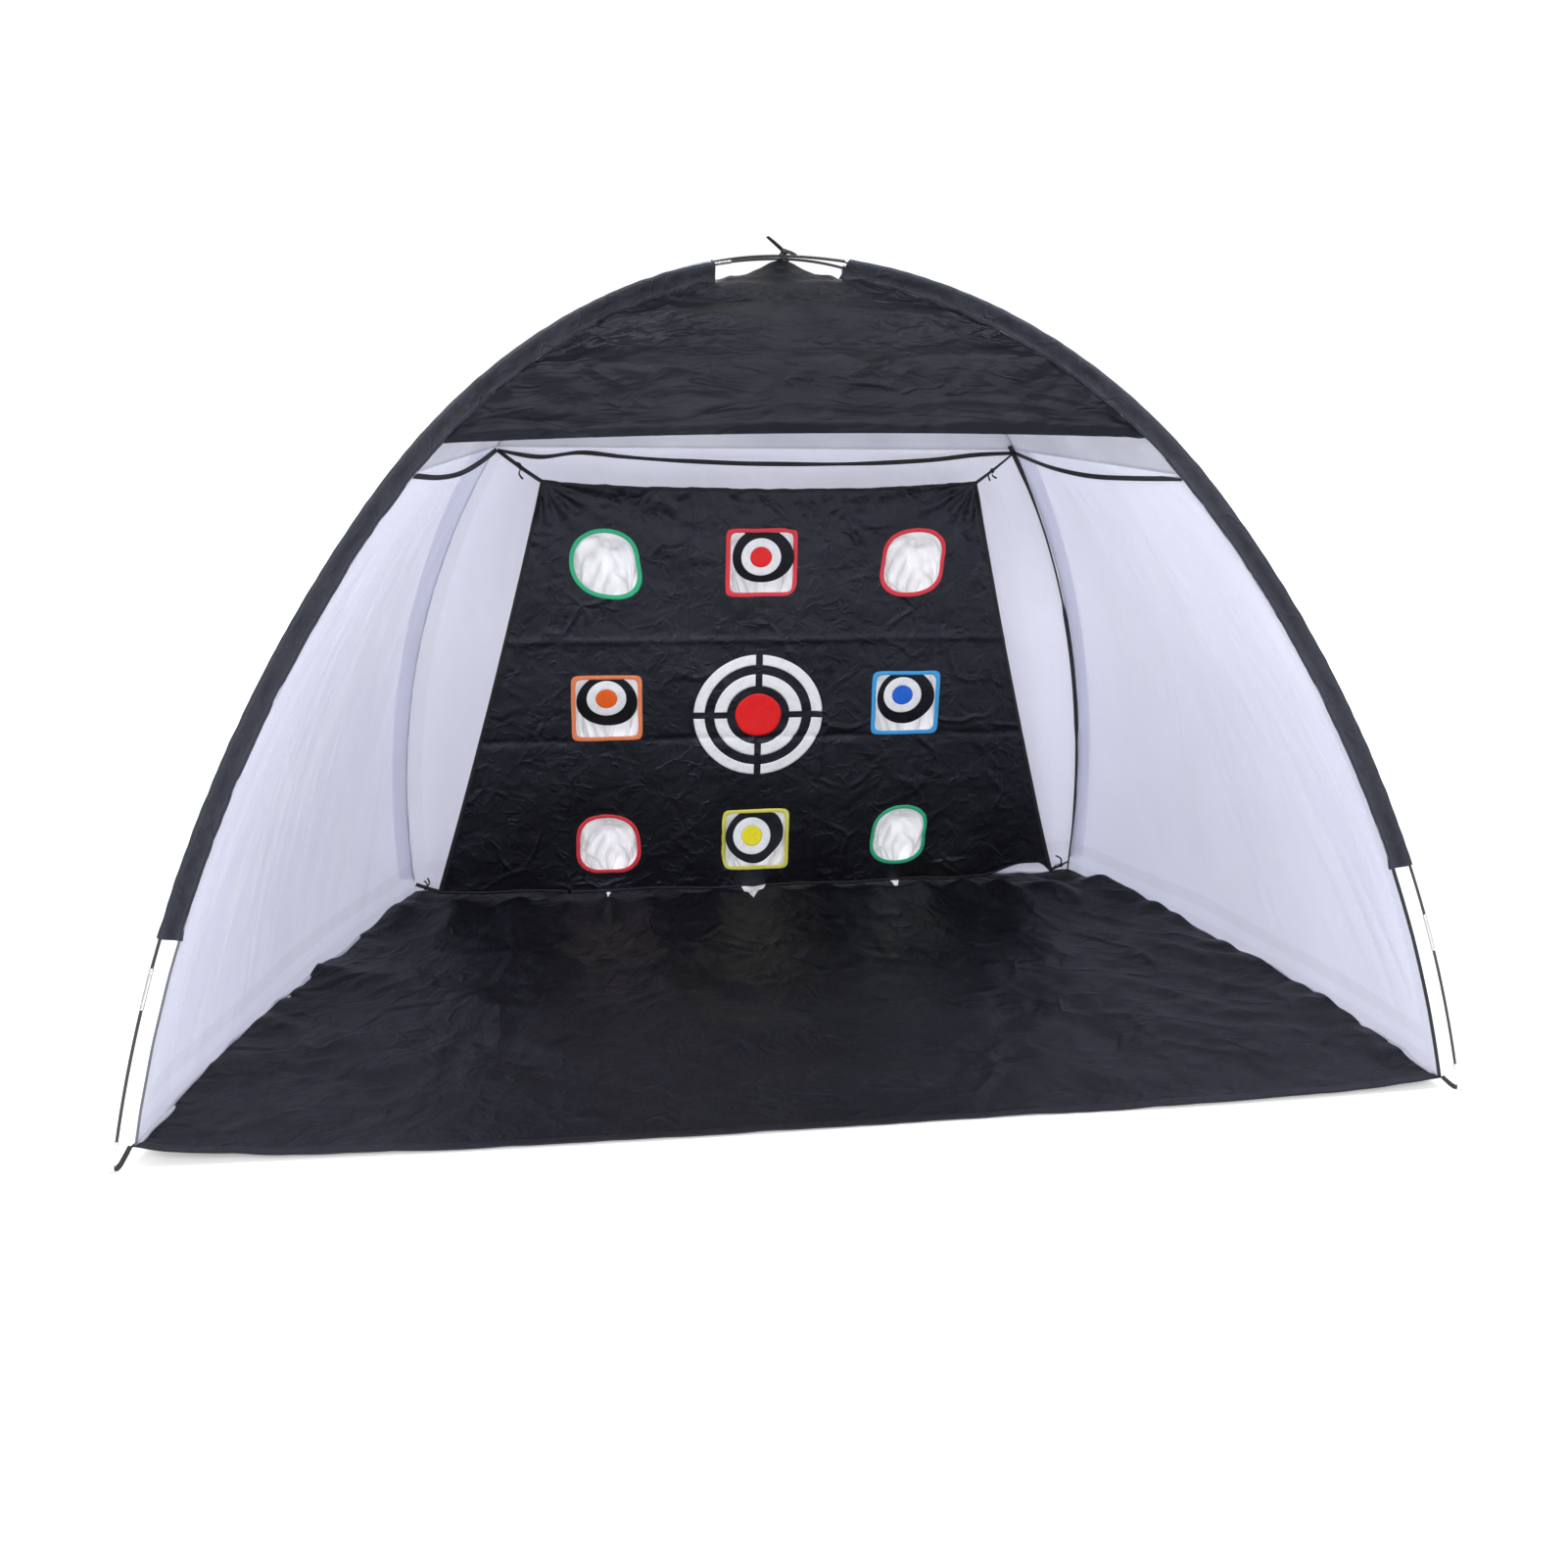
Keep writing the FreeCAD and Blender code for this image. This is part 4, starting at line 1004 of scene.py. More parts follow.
def makeCrown():
    corners = [legAlong(leg, crownLength(leg) + crown["beyond"], tent["panelOffset"])
               for leg in legs.values()]

    def place(u, v):
        spot = mixed(mixed(corners[0], corners[1], u), mixed(corners[2], corners[3], u), v)
        rise = crownPeak(u, v) + (0.01 + 0.006 * u) * ease(v / 0.25)
        return spot + up * (rise * ease(min(u, 1 - u) / 0.12) - crown["below"])

    obj = gridPiece("crown_patch_cloth", crown["counts"], place, "valance", crown["flat"],
                    thickness=panel["thickness"], slot="black_polyester", instead=("crown_patch",))
    declareSheet(obj, "crown_patch")


def makePanels():
    makeWall("net_wall_left", frontLeft, rearLeft, panel["leftBelly"], left, 2, 41.0, -0.35)
    makeWall("net_wall_right", frontRight, rearRight, panel["rightBelly"], right, 2, 51.0, -0.6)
    makeWall("net_wall_rear", rearLeft, rearRight, panel["rearBelly"], back, 3, 61.0, 0.1)
    for name, one, two, outward in (("roof_left", frontLeft, rearLeft, left),
                                    ("roof_right", frontRight, rearRight, right),
                                    ("roof_rear", rearLeft, rearRight, back)):
        makePanel(name, one, two, "seam", 0, "roof", roofRipple, (80, 60), (outward + up).normalized(),
                  slot="white_polyester")
    forward = (up - back).normalized()
    makePanel("valance", frontLeft, frontRight, "hem", 0, "valance", valanceRipple, valance["counts"],
              forward, arch=panel["hemArch"], slot="black_polyester")
    makePanel("valance_hem", frontLeft, frontRight, "hem", panel["hemWidth"], "hem", hemRipple, (200, 3),
              forward, panel["hemInset"], panel["hemArch"], slot="black_polyester")
    makeCrown()


# Tapes along the seams

# offset is the distance from the pole, a little less at the front and more at the rear
tape = {"width": 0.013, "offset": 0.0495, "frontLess": 0.006, "rearMore": 0.002, "below": 0.0085}


def makeTapes():
    for name, front, rear, sags in (("left", frontLeft, rearLeft, (0, 0.022, 0.03, 0.02, 0)),
                                    ("right", frontRight, rearRight, (0, 0.018, 0.03, 0.024, 0))):
        a, b = (legAt(leg, leg["seam"] - tape["below"], offset)
                for leg, offset in ((front, tape["offset"] - tape["frontLess"]), (rear, tape["offset"])))
        points = [mixed(a, b, i / 4) - up * sag for i, sag in enumerate(sags)]
        ribbonPiece(f"seam_tape_{name}_cloth", points, tape["width"], "webbing", steps=80,
                    turn=lambda u: 0.4 * math.sin(5 * u + 0.6), slot="black_webbing",
                    instead=(f"seam_tape_{name}",))
    offset = tape["offset"] + tape["rearMore"]
    a, b = (legAt(leg, leg["seam"] - tape["below"], offset) for leg in (rearLeft, rearRight))
    sags = (0, 0.018, 0.006, 0.016, 0.024, 0.029, 0.033, 0.034, 0.034, 0.032, 0.027, 0.019, 0.006, 0)
    points = [mixed(a, b, i / 13) - up * sag - back * 0.3 * sag for i, sag in enumerate(sags)]
    ribbonPiece("seam_tape_rear_cloth", points, tape["width"], "webbing", steps=160,
                turn=lambda u: 0.9 * math.cos(26 * u) if u < 0.2 else 0.55 * math.sin(17 * u) - 0.35,
                slot="black_webbing", instead=("seam_tape_rear",))


binding = {
    "width": 0.013,
    "inset": 0.0535,
    "low": 0.012,
    "high": seamHeight + 0.045,
    # Height as a share, and how much of the width is seen there
    "shown": ((0, 0.35), (0.1, 0.4), (0.16, 0.6), (0.3, 0.6), (0.33, 0.95), (0.58, 0.9), (0.62, 0.25),
              (0.82, 0.2), (0.88, 0.4), (0.95, 0.9), (1, 1)),
}


# The tape twists on its way up the seam, so that parts of it are seen edge on
def bindingTurn(u):
    for (a, low), (b, high) in zip(binding["shown"], binding["shown"][1:]):
        if u <= b:
            return math.acos(mixed(low, high, ease((u - a) / (b - a))))
    return 0


def makeRearBinding():
    start, end = (lengthAt(rearRight, z) for z in (binding["low"], binding["high"]))
    points = [legAlong(rearRight, mixed(start, end, i / 10), binding["inset"], 0.0) for i in range(11)]
    ribbonPiece("rear_seam_binding_tape", points, binding["width"], "webbing",
                side=Vector((0.96, -0.28, 0)), steps=160,
                turn=bindingTurn, slot="black_webbing", instead=("rear_seam_binding",))


# Floor sheet

floor = {
    "cornerInset": 0.0415,
    "leftBow": 0.05,              # how far the sides bow out, as the walls do
    "rightBow": 0.074,
    "rearBow": 0.056,
    "frontBow": 0.024,
    "sideWave": 0.011,
    "frontWave": 0.012,
    "lie": 0.0012,                # height where the sheet lies flat
    "swell": 0.02,                # heights of its swells and of large, middle and small crumples
    "bigFold": 0.03,
    "middleFold": 0.02,
    "smallFold": 0.009,
    "ridge": 0.034,               # of the upright folds along the rear
    "rearLeft": 0.012,            # extra height in the rear left corner
    "flat": (2.95, 1.65),
    "hem": 0.03,
    "thickness": 0.0007,
    "hemThickness": 0.0006,
}


# Flat place of a point of the sheet, u across and v from front to back
def floorOutline(u, v):
    fl, fr, rl, rr = (legPlace(leg, floor["cornerInset"], 0) for leg in legs.values())
    bow = 4 * v * (1 - v)
    a = mixed(fl, rl, v) + left * floor["leftBow"] * bow
    b = mixed(fr, rr, v) + right * floor["rightBow"] * bow
    edge = min(u, 1 - u)
    wavy = floor["sideWave"] * soft(v, 0, 70.0 + round(u), (13, 1))
    wavy *= ease((0.12 - edge) / 0.12) * ease(v / 0.08)
    spot = mixed(a, b, u) + Vector((1, 0, 0)) * wavy * ease((1 - v) / 0.08)
    spot += back * floor["rearBow"] * 4 * u * (1 - u) * v ** 6
    front = floor["frontBow"] * (1 - abs(2 * u - 1) ** 5)
    front += floor["frontWave"] * soft(u, v, 71.0, (4, 1)) * ease(edge / 0.08)
    return spot - back * front * (1 - v) ** 8


# Wrinkles of the sheet above the ground, with upright folds pushed up along the rear
def floorRise(u, v):
    x, y = 3 * u, 1.7 * v
    lumps = 0.006 + floor["swell"] * soft(x, y, 72.0, (1.2, 1.5))
    lumps += floor["bigFold"] * (fold(x + 0.3 * y, y, 73.0, 1.9) + 0.1)
    lumps += floor["middleFold"] * fold(x, y + 0.4 * x, 77.0, 3.7) + floor["smallFold"] * fold(x, y, 78.0, 9)
    lay = 0.3 + 0.7 * ease((v - 0.03) / 0.14)
    rearFold = ease((v - 0.77) / 0.1) * (1 - 0.75 * ease((v - 0.9) / 0.05))
    ridge = 0.5 + 0.5 * math.sin(30 * x + 5 * soft(x, y, 74.0, (1.8, 1)))
    rear = rearFold * (0.003 + floor["ridge"] * ridge ** 1.5 * (0.3 + abs(soft(x, y, 75.0, (3, 1)))))
    pushed = 0.004 + 0.014 * abs(soft(0, y, 76.0 + round(u), (1, 9)))
    sides = ease((0.05 - min(u, 1 - u)) / 0.04) * pushed
    lifted = 0
    for leg, away in ((frontLeft, u), (frontRight, 1 - u)):
        lifted += leg["lift"] * math.exp(-v / tent["liftReach"]) * math.exp(-away / 0.07)
    lay *= 1 - 0.6 * ease((v - 0.9) / 0.05)
    rear += floor["rearLeft"] * ease((v - 0.86) / 0.08) * ease((0.17 - u) / 0.07)
    return floor["lie"] + max(0, lumps) * lay + rear + sides * ease(v / 0.1) + lifted


# Height of the wrinkled sheet below a point
def floorHeight(x, y):
    v = (y - tent["frontY"]) / tent["depth"]
    half = mixed(tent["frontHalf"], tent["rearHalf"], v) + 0.06 * 4 * v * (1 - v)
    return floorRise(min(1, max(0, 0.5 + 0.5 * x / half)), v)


def makeFloor():
    def place(u, v):
        return floorOutline(u, v) + up * floorRise(u, v)

    obj = gridPiece("floor_cloth", (280, 170), place, "floorCloth", floor["flat"],
                    thickness=floor["thickness"], slot="black_polyester", instead=("floor_sheet",))

    def band(u, v):
        share = v * floor["hem"] / floor["flat"][1]
        return floorOutline(u, share) + up * (floorRise(u, share) + 0.0009)

    hem = gridPiece("floor_hem", (280, 4), band, "hem", (floor["flat"][0], floor["hem"]),
                    thickness=floor["hemThickness"], slot="black_polyester")
    declareSheet(obj, "net_wall_left")


# Target sheet, measured in its own leaning plane from the middle of its pocket grid

target = {
    "lean": 9.2,                  # degrees, the top towards the player
    "behindFeet": 1.556,          # the grid's middle, from the front feet and from the ground
    "height": 0.613,
    "pitch": 0.443,
    "topHalf": 0.616,
    "bottomHalf": 0.95,
    "top": 0.686,
    "bottom": -0.59,
    "topSag": 0.024,
    "sideDraw": 0.01,
    "bottomDrop": 0.016,
    "foldsAcross": (-0.56, -0.202, 0.185, 0.537),
    "foldsUp": (0.208, -0.104),
    "behind": 0.001,              # the cloth's middle, from the plane
    "thickness": 0.0007,
    "cut": 0.004,                 # how much wider than its opening a hole is cut
    "pocketReach": 0.15,          # a pocket's edge lies nearer than this to its middle
    "counts": (250, 170),
    "flat": (1.9, 1.29),
    "edge": 0.009,                # width, front and thickness of the binding on its four sides
    "edgeFront": 0.0011,
    "edgeThickness": 0.0009,
    "edgeRuns": (1.3, 1.28),      # the sheet's width and height that this width is a share of
}
leanTurn = Matrix.Rotation(math.radians(target["lean"]), 3, "X")
targetOrigin = Vector((0, tent["frontY"] + target["behindFeet"], target["height"]))


def onTarget(x, y, z):
    return targetOrigin + leanTurn @ Vector((x, y, z))


# A point at a radius and an angle, level and upwards
def polar(r, angle):
    return r * math.cos(angle), r * math.sin(angle)


pocket = {"half": 0.092, "flapCentre": 0.017, "axisUp": 0.0889}
pitch = target["pitch"]
# Column, row, colour of the tape, how the flap hangs and a seed for its wrinkles.
# A round opening lists its radii as shares, from the right and counterclockwise.
# A square one has a flap instead: its colour, how far it curls back, in degrees, where its print sits and
# the same kind of list for its outline.
pockets = {
    "top_left": {"x": -pitch, "z": pitch, "tape": "green", "seed": 3.0,
                 "rim": (0.95, 1.0, 1.0, 1.04, 0.98, 0.98, 1.02, 1.2)},
    "top_centre": {"x": 0, "z": pitch, "tape": "red", "seed": 4.0, "flap": "red", "curl": 13,
                   "print": (-0.002, 0.0), "edge": (1.05, 1.0, 0.95, 0.97, 0.96, 0.95, 0.9, 0.96)},
    "top_right": {"x": pitch, "z": pitch, "tape": "red", "seed": 9.0,
                  "rim": (0.89, 1.1, 1.0, 1.0, 0.91, 1.13, 1.03, 1.02)},
    "middle_left": {"x": -pitch, "z": 0, "tape": "orange", "seed": 6.0, "flap": "orange", "curl": 17,
                    "print": (-0.001, 0.012), "edge": (1.0, 1.0, 1.0, 1.0, 1.0, 0.94, 0.93, 1.0)},
    "middle_right": {"x": pitch, "z": 0, "tape": "blue", "seed": 7.0, "flap": "blue", "curl": 11,
                     "print": (-0.011, 0.009), "edge": (0.98, 1.0, 1.0, 1.0, 1.0, 1.0, 0.98, 0.92)},
    "bottom_left": {"x": -pitch, "z": -pitch, "tape": "red", "seed": 12.0,
                    "rim": (0.93, 0.98, 0.97, 1.05, 0.93, 1.08, 0.95, 1.09)},
    "bottom_centre": {"x": 0, "z": -pitch, "tape": "yellow", "seed": 13.0, "flap": "yellow", "curl": -6,
                      "print": (-0.013, 0.002), "edge": (0.93, 1.04, 1.0, 1.0, 1.06, 0.98, 0.94, 0.8)},
    "bottom_right": {"x": pitch, "z": -pitch, "tape": "green", "seed": 15.0,
                     "rim": (0.84, 1.06, 0.99, 0.9, 0.83, 1.02, 0.98, 0.99)},
}


# Smooth value between eight that are spread round a circle
def aroundAt(shares, angle):
    at = angle / (math.pi / 4) % 8
    return curveAt([shares[(int(at) + k) % 8] for k in (-1, 0, 1, 2)], (1 + at % 1) / 3)


# Distance from a pocket's middle to its edge
def pocketRadius(each, angle, extra=0.0):
    one = pockets[each]
    c, s = math.cos(angle), math.sin(angle)
    if "rim" not in one:
        reach = (abs(c) ** 12 + abs(s) ** 12) ** (-1 / 12)
        return (pocket["half"] + extra) * reach * (1 + 0.018 * soft(c, s, one["seed"], (1.3, 1.3)))
    return (pocket["half"] + extra) * aroundAt(one["rim"], angle)


def pocketPoint(each, angle, extra, depth):
    x, z = polar(pocketRadius(each, angle, extra), angle)
    return onTarget(pockets[each]["x"] + x, depth, pockets[each]["z"] + z)


# depth is the height of a fold's line, width how far it runs out, and drift how far it strays
pressed = {"across": {"depth": 0.0062, "width": 0.009, "drift": 0.004},
           "up": {"depth": 0.0055, "width": 0.008, "drift": 0.003}}


# How far the hung sheet stands back from its plane: pressed folds, pulls and soft wrinkles
def relief(x, z):
    calm = 1.0
    for one in pockets.values():
        away = math.hypot(x - one["x"], z - one["z"])
        if away < 0.2:
            calm = min(calm, ease((away - 0.1) / 0.1))
    out = 0.008 * soft(x, z, 81.0, (1.7, 1.4)) + 0.005 * soft(x, z, 82.0, (5, 4))
    out += 0.0022 * fold(x + 0.3 * z, z, 83.0, 4.5) + 0.0018 * fold(x, z, 93.0, 11)
    out += 0.014 * ease((z - 0.34) / 0.22) * (fold(x, 0.8 * z, 95.0, 12) + 0.4 * fold(x, z, 96.0, 29))
    for side in (-1, 1):
        dx, dz = x - side * target["topHalf"], z - target["top"]
        away = math.hypot(dx, dz)
        fan = math.sin(15 * math.atan2(dz, dx * side) + 1.5 * soft(x, z, 84.0 + side, (2, 2)))
        out += 0.008 * fan * math.exp(-away / 0.34) * ease(away / 0.06)
    drape = ease((-0.25 - z) / 0.3)
    out += 0.006 * drape * math.sin(17 * x + 2 * soft(x, z, 86.0, (2, 2)))
    line = pressed["across"]
    for i, at in enumerate(target["foldsAcross"]):
        gap = (x - at + line["drift"] * soft(z, 0, 87.0 + i, (3, 1))) / line["width"]
        out += (line["depth"] if i % 2 else -line["depth"]) * math.exp(-abs(gap))
    line = pressed["up"]
    for i, at in enumerate(target["foldsUp"]):
        gap = (z - at + line["drift"] * soft(x, 0, 91.0 + i, (4, 1))) / line["width"]
        out += (line["depth"] if i else -line["depth"]) * math.exp(-abs(gap))
    return out * (0.12 + 0.88 * calm)


# Place in the sheet's plane, u across and v upwards
def targetFlat(u, v):
    side = 2 * u - 1
    half = mixed(target["bottomHalf"], target["topHalf"], v) - target["sideDraw"] * 4 * v * (1 - v)
    top = target["top"] - target["topSag"] * (1 - side ** 2)
    bottom = target["bottom"] - target["bottomDrop"] * (1 - side ** 2)
    lift = 0.034 * ease((side - 0.76) / 0.14) * ease((1 - side) / 0.05) * (1 - v) ** 30
    return side * half, mixed(bottom, top, v) + lift


def makeTargetSheet():
    bm = bmesh.new()
    addGrid(bm, target["counts"], lambda u, v: Vector((*targetFlat(u, v), 0)), target["flat"])
    for each, one in pockets.items():
        middle = Vector((one["x"], one["z"]))
        inside = []
        for face in bm.faces:
            dx, dz = face.calc_center_median().xy - middle
            away = math.hypot(dx, dz)
            if away < target["pocketReach"] and away < pocketRadius(each, math.atan2(dz, dx), target["cut"]):
                inside.append(face)
        bmesh.ops.delete(bm, geom=inside, context="FACES")
    for vert in bm.verts:
        if vert.is_boundary:
            snapToPocket(vert)
    layer = bm.loops.layers.uv.verify()
    for face in bm.faces:
        for loop in face.loops:
            loop[layer].uv = loop.vert.co.xy
    for vert in bm.verts:
        x, z = vert.co.x, vert.co.y
        vert.co = onTarget(x, target["behind"] + relief(x, z), z)
    obj = addPiece("target_cloth", bm, "target", slot="target_cloth", instead=("target_sheet",),
                   thickness=target["thickness"])
    edge = makeTargetEdge()
    declareSheet(obj, "target_ties")


# Move a vertex of a cut edge onto the opening's outline
def snapToPocket(vert):
    for each, one in pockets.items():
        px, pz = one["x"], one["z"]
        dx, dz = vert.co.x - px, vert.co.y - pz
        if math.hypot(dx, dz) < target["pocketReach"]:
            angle = math.atan2(dz, dx)
            x, z = polar(pocketRadius(each, angle, target["cut"]), angle)
            vert.co.x, vert.co.y = px + x, pz + z


# Narrow binding folded over the sheet's four edges
def makeTargetEdge():
    bm = bmesh.new()
    width = target["edge"]
    wide, tall = target["edgeRuns"]
    sides = (lambda t, k: targetFlat(t, 1 - k / tall), lambda t, k: targetFlat(t, k / tall),
             lambda t, k: targetFlat(k / wide, t), lambda t, k: targetFlat(1 - k / wide, t))
    for place in sides:
        def spot(u, v, place=place):
            x, z = place(u, v * width)
            return onTarget(x, target["behind"] + relief(x, z) - target["edgeFront"], z)
        addGrid(bm, (120, 2), spot, (1.4, width))
    return addPiece("target_edge_tape", bm, "webbing", slot="black_webbing",
                    thickness=target["edgeThickness"])


# outside is how far the tape's middle lies outside the opening, then half its width and half its depth
trim = {"outside": 0.0045, "half": 0.0066, "deep": 0.0021, "lumps": 0.0009, "flat": (0.6, 0.03)}


# Folded tape round an opening, with a soft oval section
def makeTrim(each):
    colour, seed = pockets[each]["tape"], pockets[each]["seed"]

    def place(u, v):
        angle, turn = 2 * math.pi * u, 2 * math.pi * v
        extra = trim["outside"] + trim["half"] * math.cos(turn)
        depth = target["behind"] + trim["deep"] * math.sin(turn)
        depth += trim["lumps"] * soft(math.cos(angle), math.sin(angle), seed, (5, 5))
        return pocketPoint(each, angle, extra, depth)

    gridPiece(f"{each}_trim_tape", (140, 12), place, colour + "Tape", trim["flat"], closed=True,
              slot=colour + "_binding", instead=(f"pocket_trim_{each}",))


bag = {
    "depth": 0.09,                # behind a round opening, a square one and the lowest square one
    "flapDepth": 0.2,
    "lowDepth": 0.13,
    "drop": 0.2,                  # below the opening's middle, and the same in the lowest row
    "lowDrop": 0.148,
    "tip": 0.022,
    "pleat": 0.03,                # depths of its folds
    "crumple": 0.02,
    "rimBehind": 0.0025,
    "counts": (96, 36),
    "flat": (0.6, 0.34),
    "thickness": 0.0006,
}
# Net that comes out below the sheet in front of it: width and length
netTips = {"bottom_left": (0.02, 0.04), "bottom_centre": (0.085, 0.14), "bottom_right": (0.03, 0.06)}


# Between an opening's rim and the pointed foot of its bag, in the sheet's own directions
def bagPlace(each, rim, v):
    low = each.startswith("bottom")
    depth = bag["depth"] if "flap" not in pockets[each] else bag["lowDepth"] if low else bag["flapDepth"]
    drop = bag["lowDrop"] if low else bag["drop"]
    high = (rim.z / pocket["half"] + 1) / 2
    first = Vector((rim.x * 1.04, depth * mixed(0.25, 1, high), rim.z - 0.012))
    lower = mixed(-drop * 0.85, rim.z * 0.3 - 0.04, high * 0.8)
    second = Vector((rim.x * 0.8, depth * mixed(0.25, 1.05, high), lower))
    tip = Vector((rim.x * 0.2, bag["tip"] + 0.01 * high, -drop))
    w = 1 - v
    return rim * w ** 3 + first * 3 * v * w * w + second * 3 * v * v * w + tip * v ** 3


# Net bag behind an opening, with folds that meet in its middle
def makeBag(each):
    one = pockets[each]
    seed = one["seed"]

    def place(u, v):
        angle = 2 * math.pi * u
        c, s = math.cos(angle), math.sin(angle)
        r = pocketRadius(each, angle, 0.003)
        spot = bagPlace(each, Vector((r * c, bag["rimBehind"], r * s)), v)
        swell = 4 * v * (1 - v)
        spoke = abs(math.sin(1.5 * angle + seed + 0.9 * soft(c + v, s, seed, (1.2, 1.2))))
        pleat = bag["pleat"] * (1 - spoke) ** 1.5
        spot.y -= swell * (pleat + bag["crumple"] * fold(c + v, s, seed + 1, 1.7) + 0.004)
        spot.x *= 1 + 0.12 * swell * soft(c + 0.5 * v, s, seed + 2, (2.1, 2.1))
        x, z = one["x"] + spot.x, one["z"] + spot.z
        return onTarget(x, max(spot.y, relief(x, z) + 0.0015 + 0.004 * ease(v / 0.1)), z)

    bm = bmesh.new()
    addGrid(bm, bag["counts"], place, bag["flat"])
    if each in netTips:
        width, long = netTips[each]
        base = onTarget(one["x"], 0.004, target["bottom"])

        def tip(u, v):
            side = (u - 0.5) * width * (1 - v) ** 0.8
            x, y = base.x + side - 0.2 * width * v, base.y + 0.02 - (long + 0.02) * v
            z = floorHeight(x, y) + 0.004 + 0.006 * (1 - v) + 0.004 * soft(u, v, seed, (3, 3))
            return Vector((x, y, z))

        addGrid(bm, (12, 14), tip, (width, long))
    closeUp(bm)
    obj = addPiece(f"{each}_net_bag", bm, "bag", slot="white_mesh", instead=(f"pocket_net_{each}",),
                   thickness=bag["thickness"])
    declareSheet(obj, "target_sheet")


bullseye = {
    "rings": ((0.191, 0.159), (0.13, 0.093)),  # outer and inner radius
    "spot": 0.068,
    "up": -0.03,                  # its middle, from the grid's
    "slot": 0.01,                 # half the gap between two quarters of a ring
    "front": -0.0009,
    "thickness": 0.0003,
}


def onBullseye(r, angle):
    x, z = polar(r, angle)
    z += bullseye["up"]
    return onTarget(x, relief(x, z) + bullseye["front"], z)


def makeBullseye():
    bm = bmesh.new()
    for big, small in bullseye["rings"]:
        for quarter in range(4):
            def place(u, v):
                r = mixed(small, big, v)
                start = math.asin(bullseye["slot"] / r)
                return onBullseye(r, mixed(start, math.pi / 2 - start, u) + quarter * math.pi / 2)

            addGrid(bm, (60, 6), place, (big * 1.5, big - small))
    addPiece("bullseye_white_rings", bm, "white", slot="white_print", instead=("bullseye_rings",),
             thickness=bullseye["thickness"])

    def disc(u, v):
        r = bullseye["spot"] * v * (1 + 0.008 * math.sin(5 * math.pi * 2 * u))
        return onBullseye(r, 2 * math.pi * u)

    gridPiece("bullseye_red_disc", (72, 14), disc, "red", (0.4, bullseye["spot"]), closed=True,
              slot="red_print", instead=("bullseye_centre",), thickness=bullseye["thickness"])


flap = {
    "radius": 0.088,
    "ring": (0.0312, 0.057),      # inner and outer radius of the white print
    "spot": 0.031,
    "printFront": 0.0009,
    "cup": 0.005,
    "thickness": 0.0012,
    "printThickness": 0.0003,
    # The roll's radius along it
    "roll": ((0, 0.0006), (0.01, 0.0015), (0.3, 0.0017), (0.7, 0.0015), (0.99, 0.0014), (1, 0.0006)),
}


# Disc of cloth hanging from its roll, with a printed ring and spot
def makeFlap(each):
    one = pockets[each]
    colour, seed = one["flap"], one["seed"]
    radius = flap["radius"]
    hinge = onTarget(one["x"], target["behind"], one["z"] + pocket["axisUp"])
    below = pocket["axisUp"] - pocket["flapCentre"]
    start = math.radians(one["curl"]) * 0.4
    bend = math.radians(one["curl"]) * 1.2 / (below + radius)
    body = colour + "_flap"

    # Point of the curled cloth, from its place on the flat disc
    def hang(dx, dz, out):
        t = below - dz
        turn = start + bend * t
        y = (math.cos(start) - math.cos(turn)) / bend
        z = (math.sin(turn) - math.sin(start)) / bend
        cup = flap["cup"] * ease(t / 0.05) * (soft(dx * 9, dz * 9, seed) - (dx / radius) ** 2)
        return hinge + Vector((dx, y + cup - out * math.cos(turn), -z - out * math.sin(turn)))

    def disc(u, v):
        angle = 2 * math.pi * u
        dx, dz = polar(radius * v * mixed(1, aroundAt(one["edge"], angle), v), angle)
        return hang(dx, min(dz, below), 0)

    gridPiece(f"{colour}_flap_cloth", (96, 26), disc, "flap", (0.5, radius), closed=True, body=body,
              slot="target_cloth", instead=(f"flap_{colour}",), thickness=flap["thickness"])
    for part, radii, material, flat, node in (("white_ring", flap["ring"], "white", (0.3, 0.026), "ring"),
                                              ("middle", (0.0, flap["spot"]), colour, (0.2, 0.031), "spot")):
        def layer(u, v, radii=radii):
            dx, dz = polar(mixed(*radii, v), 2 * math.pi * u)
            return hang(dx + one["print"][0], dz + one["print"][1], flap["printFront"])

        gridPiece(f"{colour}_flap_{part}", (72, 8), layer, material, flat, closed=True, body=body,
                  slot=material + "_print", instead=(f"flap_{colour}_{node}",),
                  thickness=flap["printThickness"])
    rollMesh = bmesh.new()
    half = Vector((math.sqrt(radius ** 2 - below ** 2), 0, 0))
    addRodBetween(rollMesh, hinge - half, hinge + half, flap["roll"], 12)
    closeUp(rollMesh, True)
    addPiece(f"{colour}_flap_roll", rollMesh, "flap", body=body, slot="target_cloth")


# Ties and straps

tie = {"width": 0.011, "tailWidth": 0.007, "knot": (0.0062, 0.005, 0.0058), "thickness": 0.0012}


# Tape from start to end with a knot on the way and loose tails (offsets from the knot)
def addTie(bm, start, end, knotShare, sag, tails, seed):
    points = [mixed(start, end, t) - up * sag * 4 * t * (1 - t) for t in (0, 0.25, 0.5, 0.75, 1)]
    addRibbon(bm, points, tie["width"], steps=24, turn=lambda u: 0.2 + 0.5 * u)
    knot = curveAt(points, knotShare)
    addKnot(bm, knot, tie["knot"], seed)
    for tail in tails:
        offset = Vector(tail)
        bow = Vector((offset.z, 0, -offset.x)) * 0.25
        addRibbon(bm, [knot, knot + offset * 0.5 + bow, knot + offset], tie["tailWidth"], side=back,
                  steps=10, turn=lambda u: 1.3 * u, taper=lambda u: 1 - 0.25 * u)


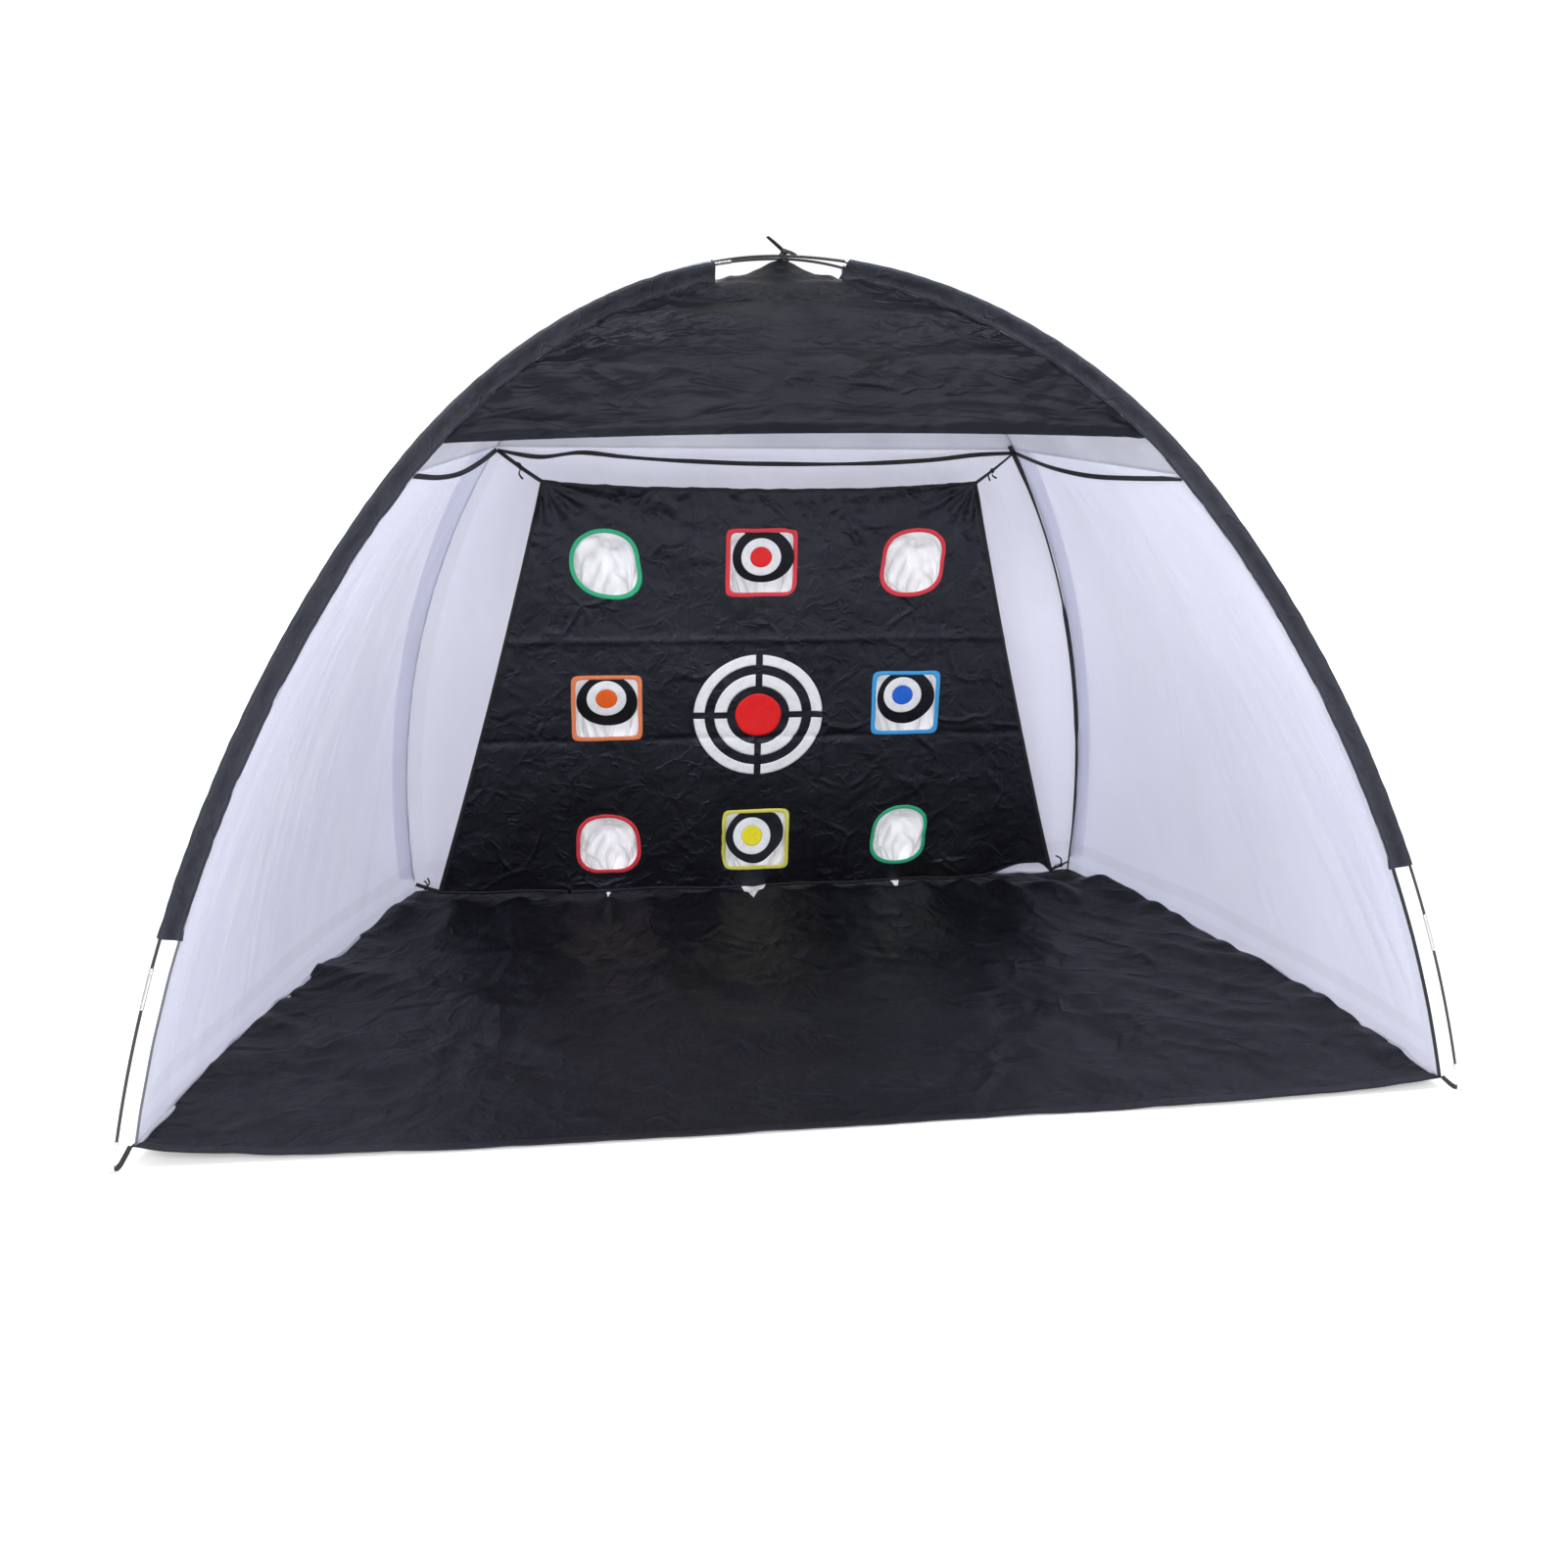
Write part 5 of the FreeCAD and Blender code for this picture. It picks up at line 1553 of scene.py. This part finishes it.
def makeTies():
    bm = bmesh.new()
    anchor = seamHeight - tape["below"]
    for side, leg, tails, knotShare in ((-1, rearLeft, ((0.004, 0, -0.032), (-0.012, 0, 0.014)), 0.45),
                                        (1, rearRight, ((-0.006, 0, -0.03), (0.014, 0, -0.022)), 0.42)):
        corner = onTarget(side * target["topHalf"], target["behind"], target["top"] - 0.003)
        addTie(bm, corner, legAt(leg, anchor, 0.052), knotShare, 0.002, tails, 101.0 + side)
    lowTails = (((0.006, 0, 0.03), (-0.004, 0, 0.022)), ((-0.02, -0.005, 0.034), (-0.028, -0.01, -0.006)))
    for side, leg, inset, tails in ((-1, rearLeft, 0.0498, lowTails[0]), (1, rearRight, 0.0555, lowTails[1])):
        corner = onTarget(side * (target["bottomHalf"] - 0.002), target["behind"], target["bottom"] + 0.008)
        addTie(bm, corner, legAt(leg, corner.z + 0.012, inset), 0.55, 0.001, tails, 105.0 + side)
    addPiece("target_tie_tapes", bm, "webbing", slot="black_webbing", instead=("target_ties",),
             thickness=tie["thickness"])


# Routes are places from the crossing, and tails from the knot
apexTie = {
    "width": 0.011,
    "crossWidth": 0.009,
    "thickness": 0.0016,
    "loop": ((0.002, -0.006, -0.036), (0.003, -0.0095, -0.018), (-0.001, -0.0105, 0), (0, -0.006, 0.0115),
             (0, 0.003, 0.0125), (0.002, 0.010, 0.002), (0.002, 0.009, -0.018), (0.001, 0.004, -0.036)),
    "cross": ((-0.012, -0.008, 0.006), (-0.002, -0.0105, 0.004), (0.009, -0.0085, -0.006),
              (0.013, 0.001, -0.009)),
    "knotAt": (0.001, -0.006, 0.014),
    "knot": (0.0085, 0.007, 0.0065),
    "leftTail": ((0, 0, 0), (-0.02, -0.004, 0.017), (-0.044, -0.006, 0.036)),
    "leftWidth": 0.012,
    "rightTail": ((0, 0, 0), (0.014, -0.003, -0.001), (0.03, -0.004, -0.009)),
    "rightWidth": 0.009,
}


# Tape from the crown patch round both poles, knotted above them, with two loose ends
def makeApexTie():
    bm = bmesh.new()
    centre = Vector((0, crossingY, tent["apexHeight"]))
    knot = centre + Vector(apexTie["knotAt"])

    def route(name, start):
        return [start + Vector(p) for p in apexTie[name]]

    addRibbon(bm, route("loop", centre), apexTie["width"], side=Vector((1, 0, 0)), steps=60)
    addRibbon(bm, route("cross", centre), apexTie["crossWidth"], steps=20)
    addKnot(bm, knot, apexTie["knot"], 111.0)
    addRibbon(bm, route("leftTail", knot), apexTie["leftWidth"], side=back, steps=16,
              turn=lambda u: 1.1 - 0.8 * u, taper=lambda u: 0.75 + 0.35 * u)
    addRibbon(bm, route("rightTail", knot), apexTie["rightWidth"], side=back, steps=12, turn=lambda u: 1.2)
    addPiece("apex_tie_tape", bm, "webbing", slot="black_webbing", instead=("apex_tie",),
             thickness=apexTie["thickness"])


strap = {
    "width": 0.009,
    "thickness": 0.0011,
    "height": 0.0097,             # of its middle, in the ring
    "frontSewn": 0.041,           # from the ring to where it is sewn on
    "rearSewn": 0.046,
    # Distance from the ring and to the side. 1 and 0.5 are shares of the distance to the sewn end.
    "route": ((1, 0.0017), (0.5, 0.0026), (0.0105, 0.0031), (0.0056, 0.0024), (0.0041, 0),
              (0.0056, -0.0024), (0.0105, -0.0031), (0.5, -0.0026), (1, -0.0017)),
}


# Webbing on edge, from a corner of the tent round the wire of its ring and back
def makeStraps():
    bm = bmesh.new()
    for name, leg in legs.items():
        sewn = strap["frontSewn"] if name.startswith("front") else strap["rearSewn"]
        points = []
        for s, across in strap["route"]:
            reach = sewn if s == 1 else sewn * s if s == 0.5 else s
            lifted = leg["lift"] * ease((reach - 0.011) / (sewn - 0.011))
            points.append(legPlace(leg, reach, strap["height"] + lifted, across))
        addRibbon(bm, points, strap["width"], steps=64)
    addPiece("corner_strap_tapes", bm, "webbing", slot="black_webbing", instead=("corner_straps",),
             thickness=strap["thickness"])


# Making

makeMaterials()
makeCamera()
makeStudio()
print("camera, lights and materials done")
makePoles()
makeEyePins()
print("poles")
makeSleeves()
print("sleeves")
makePanels()
makeTapes()
makeRearBinding()
makeFloor()
print("tent cloth")
makeTargetSheet()
makeBullseye()
for each in pockets:
    makeTrim(each)
    makeBag(each)
    if "flap" in pockets[each]:
        makeFlap(each)
print("target")
makeTies()
makeApexTie()
makeStraps()
print("ties")
